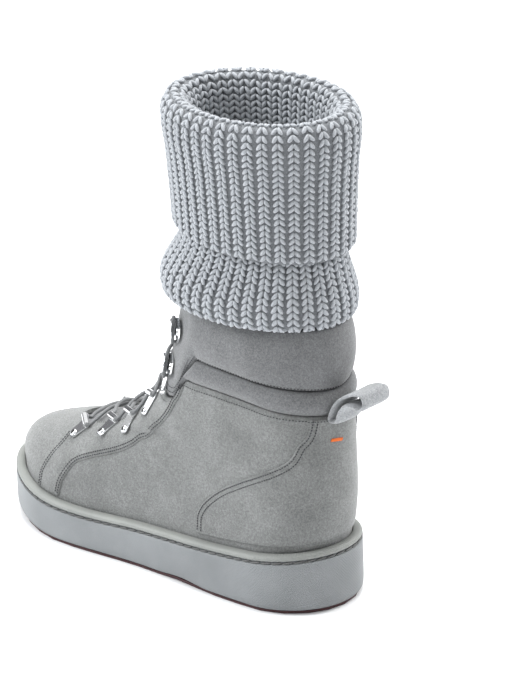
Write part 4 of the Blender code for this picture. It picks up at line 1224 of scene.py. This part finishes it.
def bent_plate(axes, path, widths, thickness):
    """A strip of plate bent along a path of reach and height, as wide as said at each point."""
    origin, across, along, outward = axes
    path = np.asarray(path, float)
    way = unit(np.gradient(path, axis=0))
    normal = np.stack([-way[:, 1], way[:, 0]], -1) * thickness / 2
    v = np.sin(np.linspace(-math.pi / 2, math.pi / 2, 13)) / 2
    sides = []
    for sign in (1, -1):
        line = path + normal * sign
        points = origin + line[:, :1] * across + line[:, 1:] * outward
        sides.append(points[:, None] + (np.asarray(widths)[:, None] * v)[..., None] * along)
    return grid_solid(*sides)


def turned(axes, reach, profile, sides=18):
    """A round fitting on a plate, from a profile of radius and height."""
    origin, across, along, outward = axes
    angle = np.arange(sides) * 2 * math.pi / sides
    circle = np.cos(angle)[:, None] * across + np.sin(angle)[:, None] * along
    rings = np.array([origin + across * reach + circle * r + outward * h for r, h in profile])
    count = len(profile)
    faces = grid_faces(count, sides)
    faces += [tuple(range(sides)), tuple((count - 1) * sides + k for k in range(sides))]
    return rings.reshape(-1, 3), faces


RIVET = [(r * MM, h * MM) for r, h in (
    (2.3, 0.9), (2.45, 1.15), (2.4, 1.5), (2.0, 1.85), (1.5, 1.9), (1.1, 1.7), (0.95, 1.3),
    (0.9, 1.0),
)]
# Profile of the black plug in each rivet's hole, which is painted shade. Columns: radius, height
SHADE_PLUG = [(1.5 * MM, 0.95 * MM), (1.5 * MM, 1.95 * MM), (1.2 * MM, 2.05 * MM)]
PLATE_WIDTH = 7.6 * MM
NECK_WIDTH = 9.8 * MM
TUBE_LENGTH = 11.0 * MM
TUBE_REACH = HOOK_LENGTH / 2 - HOOK_TUBE / 2
TUBE_HEIGHT = HOOK_TUBE / 2 + 0.1 * MM


def arc_path(reach, height, radius, start, end, count):
    angle = np.radians(np.linspace(start, end, count))
    return [(reach + radius * math.cos(a), height + radius * math.sin(a)) for a in angle]


def riveted(axes, plate, reach):
    """A plate with its rivet, and a black plug of painted shade in the rivet's hole."""
    return [plate, turned(axes, reach, RIVET)], [turned(axes, reach, SHADE_PLUG, 12)]


def lace_hook(axes):
    """A drop-shaped plate that widens and rolls into the tube for the lace."""
    radius = HOOK_TUBE / 2 - 0.45 * MM
    along = np.linspace(-HOOK_LENGTH / 2, TUBE_REACH - 0.6 * MM, 22)
    flat = [(x, TUBE_HEIGHT - radius) for x in along]
    path = np.array(flat + arc_path(TUBE_REACH, TUBE_HEIGHT, radius, -85, 215, 22))
    widths = []
    for i, (x, _) in enumerate(path):
        start = (x + HOOK_LENGTH / 2) / (3.0 * MM)
        grow = np.clip((x + 5.5 * MM) / (9 * MM), 0, 1)
        width = PLATE_WIDTH + (NECK_WIDTH - PLATE_WIDTH) * grow**1.5
        if i >= 19:
            width = NECK_WIDTH + (TUBE_LENGTH - NECK_WIDTH) * min((i - 18) / 4, 1)
        if i < 22 and start < 1:
            width *= math.sqrt(max(2 * start - start**2, 0.02))
        widths.append(width)
    return riveted(axes, bent_plate(axes, path, widths, 0.9 * MM), -5.4 * MM)


def speed_hook(axes):
    """An oval plate turned back over itself, with a lifted tip."""
    radius = 1.9 * MM
    low = 0.6 * MM
    bend = 3.9 * MM
    tip = -0.6 * MM
    tip_radius = 1.2 * MM
    high = low + 2 * radius
    path = [(x, low) for x in np.linspace(-6.5 * MM, bend, 24)]
    path += arc_path(bend, low + radius, radius, -80, 90, 12)
    path += [(x, high) for x in np.linspace(bend - 0.8 * MM, tip, 6)]
    path += arc_path(tip, high + tip_radius, tip_radius, -110, -165, 4)
    widths = []
    for i, (x, _) in enumerate(path):
        oval = SPEED_HOOK_WIDTH * math.sqrt(max(1 - (x / (7.0 * MM)) ** 2, 0.03))
        widths.append(oval if i < 24 else (13.0 - 3.5 * (i - 24) / 22) * MM)
    return riveted(axes, bent_plate(axes, path, widths, 1.0 * MM), -3.4 * MM)


def make_hooks():
    """The hooks, the black plugs of painted shade in their rivets' holes, and where the lace passes
    each one.
    """
    hooks = []
    shade_plugs = []
    passes = {}

    def fit(name, node, axes, shape, reach, height, half):
        parts, dark = shape(axes)
        hooks.append((join(name, parts), node))
        shade_plugs.extend(dark)
        origin, across, along, outward = axes
        centre = origin + across * reach + outward * height
        return centre - along * half, centre, centre + along * half

    for side, label in SIDES:
        passes[side] = []
        for i, row in enumerate(LACE_HOOKS):
            axes = hook_axes(*lace_hook_ends(side, *row), OVERLAY_TOP + 0.35 * MM)
            names = f"hook_{label}_{i + 1}", f"lace_hook_{label}_{i + 1}"
            passes[side].append(fit(*names, axes, lace_hook, TUBE_REACH, TUBE_HEIGHT, 5.6 * MM))
        for i, height in enumerate(SPEED_HOOKS):
            axes = hook_axes(*speed_hook_ends(side, height), BAND_PUFF - 1.2 * MM)
            names = f"open_hook_{label}_{i + 1}", f"speed_hook_{label}_{i + 1}"
            passes[side].append(fit(*names, axes, speed_hook, 2.6 * MM, 2.5 * MM, 8.4 * MM))
    return hooks, join("rivet_shade_plugs", shade_plugs), passes


def over_form(point, out):
    """A point out of the form where another point lies nearest to it."""
    cell = nearest_cell(point)
    return FORM[cell] + NORMALS[cell] * out


BAR_HEIGHT = 1.7 * MM


def lace_line(start, passes, lift):
    """One lace end: from the bar at the throat's foot up through every hook."""
    side = start
    first, other = passes[side][0][0], passes[-side][0][0]
    points = [over_form(first + (other - first) * t, BAR_HEIGHT) for t in (0.5, 0.35, 0.2, 0.08)]
    for i in range(len(passes[LATERAL])):
        points += passes[side][i]
        if i + 1 < len(passes[LATERAL]):
            after = points[-1]
            to = passes[-side][i + 1][0]
            for t in (0.16, 0.33, 0.5, 0.67, 0.84):
                rise = 1.6 * MM + lift * math.sin(math.pi * t) ** 2
                points.append(over_form(after + (to - after) * t, rise))
            side = -side
    return smooth_curve(points, 420)


def make_lace(passes):
    lines = [lace_line(LATERAL, passes, 0.4 * MM), lace_line(MEDIAL, passes, 2.7 * MM)]
    return join("lace_cord", [tube_mesh(line, LACE_DIAMETER / 2) for line in lines], 80)


# ---------------------------------------------------------------- seams
# Threads of the seams. Columns, in mm: pitch, stitch length, radius
SEAM_THREAD = (2.0, 1.4, 0.42)
COUNTER_THREAD = (1.85, 1.35, 0.44)
THROAT_THREAD = (2.0, 1.3, 0.3)
QUARTER_THREAD = (2.0, 1.4, 0.36)
TAB_THREAD = (2.0, 1.4, 0.32)
BAND_THREAD = (2.1, 1.3, 0.32)
LOOP_THREAD = (2.0, 1.3, 0.24)


def inset_line(line, side, inset, first, last):
    """A line square inside an overlay's edge: its points and normals."""
    points, normals = line(side * 0.1 * MM, first, last)
    within, _ = line(side * 2.5 * MM, first, last)
    inward = unit(np.cross(normals, unit(np.gradient(points, axis=0))))
    inward = inward * np.sign(np.sum(inward * (within - points), -1, keepdims=True))
    return points + inward * inset - normals * inset**2 / (180 * MM), normals


def seam_rows():
    """The eyestays and the heel counter with their nodes, and the lines of their stitches."""
    rows = np.concatenate([np.linspace(0.03, 1, 46), np.linspace(1, 1.925, 52)[1:]])
    made = []
    lines = []
    for side, label in SIDES:
        starts = []
        ends = []
        for row in rows:
            start = THROAT_SHARE
            if row < 1:
                start = max(crossing(row, seam_line(VAMP_SEAM), side) or 0.0, THROAT_SHARE * row)
            end = crossing(row, seam_line(EYESTAY_SEAM), side) or TAB_EDGE
            starts.append(start)
            ends.append(max(end, start + 0.012))
        starts = smooth_values(starts, 4)
        ends = smooth_values(ends, 8)
        span = (starts, ends) if side == LATERAL else (2 - ends, 2 - starts)
        obj, line = overlay(f"eyestay_suede_{label}", rows, *span, 44)
        rear, front = -side, side
        made.append((obj, f"eyestay_{label}"))
        for inset in (1.3, 3.3):
            for edge, last in ((rear, -2), (front, 42)):
                lines.append((*inset_line(line, edge, inset * MM, 1, last), *SEAM_THREAD))
        lines.append((*inset_line(line, front, 2.0 * MM, 47, -3), *THROAT_THREAD))
    starts = {}
    for side in (LATERAL, MEDIAL):
        edge = seam_line(COUNTER_EDGE)
        starts[side] = smooth_values(
            [min(crossing(row, edge, side) or COUNTER_NECK, COUNTER_NECK) for row in rows], 8
        )
    obj, line = overlay("heel_counter_suede", rows, starts[LATERAL], 2 - starts[MEDIAL], 120)
    made.append((obj, "heel_counter"))
    for inset in (1.4, 4.4):
        for side in (1, -1):
            lines.append((*inset_line(line, side, inset * MM, 1, -2), *COUNTER_THREAD))
    return made, lines


def edge_stitches():
    """Stitches along the quarter's edge and along the lower edge of the upper band."""
    start = TAB_START + 0.012
    u = np.linspace(start, 2 - start, 260)
    level = at_place(STEP, u) - 0.017
    on_counter = np.abs(u - 1) < 1 - COUNTER_NECK + 0.01
    out = np.where(on_counter, OVERLAY_TOP, 0.0) + 0.3 * MM
    lines = [(dressed(u, level, out), form_normal(u, level), *QUARTER_THREAD)]
    tab = np.linspace(THROAT_SHARE + 0.01, TAB_END, 60)
    back = np.linspace(TAB_END, 2 - TAB_END, 220)
    for u, rise, out, sizes in (
        (tab, 0.020, 0.1, TAB_THREAD), (tab, 0.040, 0.9, TAB_THREAD),
        (2 - tab, 0.020, 0.1, TAB_THREAD), (2 - tab, 0.040, 0.9, TAB_THREAD),
        (back, 0.010, -0.9, BAND_THREAD),
    ):
        level = band_foot(u) + rise
        lines.append((form(u, level, out * MM), form_normal(u, level), *sizes))
    return lines


def make_seams(lines):
    """One mesh of seams. Columns: points, normals, and pitch, stitch length and radius in mm."""
    rows = []
    for points, normals, *sizes in lines:
        *vectors, half, radius = stitch_row(points, normals, *[size * MM for size in sizes])
        rows.append((*vectors, *[np.full(len(vectors[0]), size) for size in (half, radius)]))
    *vectors, length, radius = [np.concatenate(column) for column in zip(*rows)]
    return grains("seam_stitches", *vectors, length, radius, radius, 3, 4)


def make_sole_stitches(groove, outward):
    line = np.concatenate([groove, groove[:1]])
    normals = np.concatenate([outward, outward[:1]])
    row = stitch_row(line, normals, 7.0 * MM, 7.4 * MM, 0.8 * MM)
    centres, along, across, out, length, radius = row
    tilt = math.radians(7)
    way = along * math.cos(tilt) + across * math.sin(tilt)
    across = across * math.cos(tilt) - along * math.sin(tilt)
    return grains("sole_stitches", centres, way, across, out, length, radius, radius, 5, 6)


TACK_AT = np.array((-135.6, 4.6, 112.5)) * MM
TACK_HALF = 4.2 * MM
TACK_STITCHES = 15
TACK_TILT = 12


def make_bar_tack():
    """A short row of thick thread sewn on at the top of the heel."""
    j, i = nearest_cell(TACK_AT)
    u, level = float(RING_AXIS[i]), float(LEVEL_AXIS[j])
    centre = dressed(u, level, OVERLAY_TOP + 0.15 * MM)
    outward = form_normal(u, level)
    sideways = unit(form(u + 0.01, level) - form(u - 0.01, level))
    up = np.cross(outward, sideways)
    up = up * np.sign(up[2])
    turn = math.radians(TACK_TILT)
    way = sideways * math.cos(turn) - up * math.sin(turn)
    rise = sideways * math.sin(turn) + up * math.cos(turn)
    centres, along = [], []
    for k in range(TACK_STITCHES):
        t = 2 * k / (TACK_STITCHES - 1) - 1
        centres.append(centre + way * t * TACK_HALF)
        along.append(unit(rise + way * 0.35 * (-1) ** k))
    for rise_step in (-0.7, 0.0, 0.7):
        centres.append(centre + rise * rise_step * MM)
        along.append(way)
    length = np.array([1.25 * MM] * TACK_STITCHES + [4.3 * MM] * 3)
    along = np.array(along)
    out = np.repeat(outward[None], len(centres), 0)
    across = unit(np.cross(out, along))
    vectors = np.array(centres), along, across, out
    return grains("bar_tack", *vectors, length, 0.34 * MM, 0.42 * MM, 3, 6)


# ---------------------------------------------------------------- materials
def new_material(name):
    made = bpy.data.materials.new(name)
    made.use_nodes = True
    tree = made.node_tree
    return made, tree, tree.nodes["Principled BSDF"]


def set_values(node, **values):
    for key, value in values.items():
        node.inputs[key.replace("_", " ")].default_value = value


def add(tree, kind, **values):
    node = tree.nodes.new(kind)
    set_values(node, **values)
    return node


def noise(tree, size, detail=3.0, roughness=0.6):
    """Noise whose spots are about size metres across."""
    where = add(tree, "ShaderNodeTexCoord")
    node = add(tree, "ShaderNodeTexNoise", Scale=1.0 / size, Detail=detail, Roughness=roughness)
    tree.links.new(where.outputs["Object"], node.inputs["Vector"])
    return node.outputs["Fac"]


def ramp(tree, value, stops):
    node = tree.nodes.new("ShaderNodeValToRGB")
    elements = node.color_ramp.elements
    while len(elements) < len(stops):
        elements.new(0.5)
    for element, (place, colour) in zip(elements, stops):
        element.position = place
        element.color = (*colour, 1)
    tree.links.new(value, node.inputs["Fac"])
    return node.outputs["Color"]


def mix(tree, kind, factor, first, second):
    node = tree.nodes.new("ShaderNodeMix")
    node.data_type = "RGBA"
    node.blend_type = kind
    for value, index in ((factor, 0), (first, 6), (second, 7)):
        if isinstance(value, (int, float)):
            node.inputs[index].default_value = value
        elif isinstance(value, tuple):
            node.inputs[index].default_value = (*value, 1)
        else:
            tree.links.new(value, node.inputs[index])
    return node.outputs[2]


def bump(tree, shader, heights):
    """Bumps in turn. Columns: height socket, strength, distance in metres."""
    normal_socket = None
    for height, strength, distance in heights:
        node = add(tree, "ShaderNodeBump", Strength=strength, Distance=distance)
        tree.links.new(height, node.inputs["Height"])
        if normal_socket is not None:
            tree.links.new(normal_socket, node.inputs["Normal"])
        normal_socket = node.outputs["Normal"]
    tree.links.new(normal_socket, shader.inputs["Normal"])


def scaled(colour, factor):
    return tuple(min(v * factor, 1.0) for v in colour)


def suede(name, colour, contrast=1.0):
    made, tree, shader = new_material(name)
    broad = noise(tree, 26 * MM, 3.0, 0.6)
    patch = noise(tree, 6 * MM, 4.0, 0.65)
    nap = noise(tree, 1.3 * MM, 3.0, 0.7)
    fibre = noise(tree, 0.45 * MM, 2.0, 0.7)
    low, high = 1 - 0.14 * contrast, 1 + 0.14 * contrast
    base = ramp(tree, broad, ((0.3, scaled(colour, low)), (0.72, scaled(colour, high))))
    tint = base
    for value, low, dark, high, share in (
        (patch, 0.35, 0.92, 0.66, 1.0), (nap, 0.38, 0.66, 0.62, 0.9), (fibre, 0.38, 0.60, 0.62, 0.9)
    ):
        shade = ramp(tree, value, ((low, (dark,) * 3), (high, (1.0,) * 3)))
        tint = mix(tree, "MULTIPLY", share, tint, shade)
    tree.links.new(tint, shader.inputs["Base Color"])
    set_values(shader, Roughness=0.95, Specular_IOR_Level=0.15)
    set_values(shader, Sheen_Weight=0.35, Sheen_Roughness=0.5)
    bump(tree, shader, ((patch, 0.25, 0.5 * MM), (nap, 0.3, 0.35 * MM), (fibre, 0.5, 0.2 * MM)))
    return made


def wave_lines(tree, size):
    """Lines of a fine grid on the heel's wall: rows up it and columns round it."""
    where = add(tree, "ShaderNodeTexCoord")
    parts = tree.nodes.new("ShaderNodeSeparateXYZ")
    tree.links.new(where.outputs["Object"], parts.inputs[0])

    def calc(kind, a, b=None, c=None):
        node = tree.nodes.new("ShaderNodeMath")
        node.operation = kind
        for value, socket in zip((a, b, c), node.inputs):
            if value is None:
                continue
            if isinstance(value, (int, float)):
                socket.default_value = value
            else:
                tree.links.new(value, socket)
        return node.outputs[0]

    back = calc("ADD", parts.outputs["X"], 95 * MM)
    angle = calc("ARCTAN2", parts.outputs["Y"], back)
    around = calc("MULTIPLY", angle, 45 * MM * 2 * math.pi / size)
    height = calc("MULTIPLY", parts.outputs["Z"], 2 * math.pi / size)
    grid = calc("MULTIPLY", calc("SINE", around), calc("SINE", height))
    near = calc("MULTIPLY", calc("ADD", parts.outputs["X"], 70 * MM), -1 / (25 * MM))
    fade = calc("MINIMUM", calc("MAXIMUM", near, 0.0), 1.0)
    return calc("MULTIPLY", grid, fade)


def rubber():
    made, tree, shader = new_material("rubber")
    tone = tree.nodes.new("ShaderNodeAttribute")
    tone.attribute_name = "tone"
    patch = noise(tree, 30 * MM, 3.0, 0.5)
    wall = ramp(tree, patch, ((0.3, (0.205, 0.216, 0.222)), (0.7, (0.25, 0.262, 0.27))))
    lip_tint = ramp(tree, patch, ((0.3, (0.24, 0.25, 0.238)), (0.7, (0.29, 0.30, 0.285))))
    tint = mix(tree, "MIX", tone.outputs["Fac"], wall, lip_tint)
    grain = noise(tree, 0.7 * MM, 2.0, 0.6)
    dust = ramp(tree, grain, ((0.3, (0.93, 0.93, 0.93)), (0.7, (1.0, 1.0, 1.0))))
    tint = mix(tree, "MULTIPLY", 1.0, tint, dust)
    tree.links.new(tint, shader.inputs["Base Color"])
    set_values(shader, Roughness=0.5, Specular_IOR_Level=0.4)
    bump(tree, shader, ((grain, 0.12, 0.15 * MM), (wave_lines(tree, 2.1 * MM), 0.55, 0.18 * MM)))
    return made


def plain(name, colour, roughness, size, contrast, sheen=0.0, height=0.2, metallic=0.0):
    """A finish of one colour with grain of one size in its tone and relief."""
    made, tree, shader = new_material(name)
    grain = noise(tree, size, 3.0, 0.6)
    low, high = scaled(colour, 1 - contrast), scaled(colour, 1 + contrast)
    tint = ramp(tree, grain, ((0.3, low), (0.7, high)))
    tree.links.new(tint, shader.inputs["Base Color"])
    set_values(shader, Roughness=roughness, Metallic=metallic)
    if sheen:
        set_values(shader, Sheen_Weight=sheen, Sheen_Roughness=0.4)
    bump(tree, shader, ((grain, height, size * 0.3),))
    return made


def dress(obj, made):
    obj.data.materials.clear()
    obj.data.materials.append(made)


# ---------------------------------------------------------------- the photograph's view
FRAME_HEIGHT = 678
FOCAL = 5815.1
CAMERA_AT = np.array((-2.3019, 2.4344, 1.5458))
YAW, PITCH, ROLL = -0.8276, -0.3970, -0.0304


def make_camera():
    """The camera fitted to the photograph."""
    level = math.cos(PITCH)
    ahead = np.array((level * math.cos(YAW), level * math.sin(YAW), math.sin(PITCH)))
    right = unit(np.cross(ahead, (0, 0, 1)))
    up = np.cross(right, ahead)
    turned_right = right * math.cos(ROLL) + up * math.sin(ROLL)
    turned_up = up * math.cos(ROLL) - right * math.sin(ROLL)
    matrix = np.eye(4)
    matrix[:3] = np.stack([turned_right, turned_up, -ahead, CAMERA_AT], 1)
    data = bpy.data.cameras.new("camera")
    camera = linked("camera", data)
    camera.matrix_world = Matrix(matrix.tolist())
    data.sensor_fit = "VERTICAL"
    data.sensor_height = 36
    data.lens = FOCAL * 36 / FRAME_HEIGHT
    data.clip_end = 100
    bpy.context.scene.camera = camera


def area_light(name, place, size, power, colour):
    data = bpy.data.lights.new(name, "AREA")
    data.shape = "DISK"
    data.size = size
    data.energy = power
    data.color = colour
    light = linked(name, data)
    light.location = place
    light.rotation_euler = (BOOT_MIDDLE - Vector(place)).to_track_quat("-Z", "Y").to_euler()


# Brightness of the surroundings. Columns: upward share of the direction, colour
WORLD_BANDS = (
    (0.0, (0.5, 0.5, 0.5)), (0.10, (0.12, 0.12, 0.13)),
    (0.34, (0.2, 0.2, 0.21)), (0.5, (1.0, 1.0, 1.0)),
)
# Lights aimed at the boot. Columns: name, place, size, power, colour
LIGHTS = (
    ("far_left", (1.6, 1.5, 1.7), 1.2, 60, (0.96, 0.98, 1.0)),
    ("far_right", (-0.9, -2.2, 1.5), 1.2, 45, (1, 1, 1)),
    ("top", (0.2, -0.4, 2.4), 1.6, 45, (1, 1, 1)),
)
BOOT_MIDDLE = Vector((0, 0, 0.13))


def make_studio():
    bpy.context.scene.view_settings.view_transform = "Standard"
    world = bpy.data.worlds.new("studio")
    bpy.context.scene.world = world
    world.use_nodes = True
    tree = world.node_tree
    sky = tree.nodes["Background"]
    where = add(tree, "ShaderNodeTexCoord")
    parts = tree.nodes.new("ShaderNodeSeparateXYZ")
    tree.links.new(where.outputs["Generated"], parts.inputs[0])
    tree.links.new(ramp(tree, parts.outputs["Z"], WORLD_BANDS), sky.inputs["Color"])
    for light in LIGHTS:
        area_light(*light)
    bpy.ops.mesh.primitive_grid_add(x_subdivisions=8, y_subdivisions=8, size=14, location=(0, 0, 0))
    floor = bpy.context.object
    floor.name = "studio_floor"
    dress(floor, plain("floor_white", (0.94, 0.95, 0.96), 0.9, 0.4, 0.01, height=0.02))


SUEDE_COLOUR = (0.275, 0.283, 0.278)
BAND_COLOUR = (0.235, 0.24, 0.245)
LOOP_COLOUR = (0.46, 0.475, 0.49)
YARN_COLOUR = (0.40, 0.42, 0.445)


def finish_piece(obj, made, slot_name, *nodes):
    dress(obj, made)
    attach(obj, "root")
    if nodes:
        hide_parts(*nodes)


def build():
    grey = suede("suede", SUEDE_COLOUR)
    dark = suede("suede_bands", BAND_COLOUR, 0.6)
    pale = suede("suede_strap", LOOP_COLOUR, 0.5)
    yarn = plain("yarn", YARN_COLOUR, 0.95, 0.55 * MM, 0.22, sheen=0.5, height=0.8)
    # The knit between the stitches takes the yarn's colour halved, as painted shade between them.
    shade = scaled(YARN_COLOUR, 0.5)
    ground_yarn_painted_shade = plain("yarn_between_painted_shade", shade, 0.95, 0.8 * MM, 0.3, sheen=0.2, height=0.8)
    chrome = plain("chrome", (0.86, 0.87, 0.88), 0.14, 3 * MM, 0.03, height=0.02, metallic=1.0)
    # Near black for the plugs in the rivets' holes: painted shade.
    hole = plain("rivet_hole_shade", (0.02, 0.02, 0.02), 0.5, 1 * MM, 0.2)
    cord = plain("lace_weave", (0.17, 0.175, 0.18), 0.7, 0.6 * MM, 0.25, sheen=0.3, height=0.8)
    dark_thread = plain("seam_thread", (0.035, 0.036, 0.04), 0.8, 0.4 * MM, 0.3)
    # The sole's thread is darker than its own grey, as painted shade of the groove it lies in.
    sole_thread_painted_shade = plain("sole_thread_painted_shade", (0.10, 0.102, 0.10), 0.6, 0.5 * MM, 0.35)
    orange = plain("tack_thread", (0.80, 0.16, 0.015), 0.6, 0.4 * MM, 0.25)

    finish_piece(make_upper(), grey, "suede", "upper")
    overlays, lines = seam_rows()
    for obj, node in overlays:
        finish_piece(obj, grey, "suede", node)
    upper_band, lower_band = make_bands()
    finish_piece(upper_band, dark, "suede_dark", "collar_upper_band")
    finish_piece(lower_band, dark, "suede_dark", "collar_lower_band")
    finish_piece(make_tongue(), dark, "suede", "tongue")
    sole, groove, outward = make_sole()
    finish_piece(sole, rubber(), "rubber", "cupsole")
    finish_piece(make_sole_stitches(groove, outward), sole_thread_painted_shade, "rubber")
    loop, loop_edges = make_pull_loop()
    finish_piece(loop, pale, "suede", "pull_loop")
    finish_piece(make_seams(lines + loop_edges + edge_stitches()), dark_thread, "suede_dark")
    finish_piece(make_bar_tack(), orange, "suede")

    hooks, shade_plugs, passes = make_hooks()
    for obj, node in hooks:
        finish_piece(obj, chrome, "hook_metal", node)
    finish_piece(shade_plugs, hole, "hook_metal")
    finish_piece(make_lace(passes), cord, "cord", "lace")

    finish_piece(make_knit_base(), ground_yarn_painted_shade, "knit", "knit_shaft")
    end = KNIT_WHERE[-1]
    cuff = knit_stitches("knit_cuff", end - 1.2 * MM, KNIT_ALONG[11], -1, 1.0)
    finish_piece(cuff, yarn, "knit")
    skirt = knit_stitches("knit_skirt", KNIT_ALONG[4], KNIT_ALONG[12], 1, -1.0, 1.08)
    finish_piece(skirt, yarn, "knit")

    dress(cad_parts["tread"], plain("tread_brown", (0.055, 0.018, 0.02), 0.7, 1.5 * MM, 0.3))
    dress(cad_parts["insole"], suede("insole_suede", scaled(SUEDE_COLOUR, 0.8), 0.5))


make_camera()
make_studio()
build()
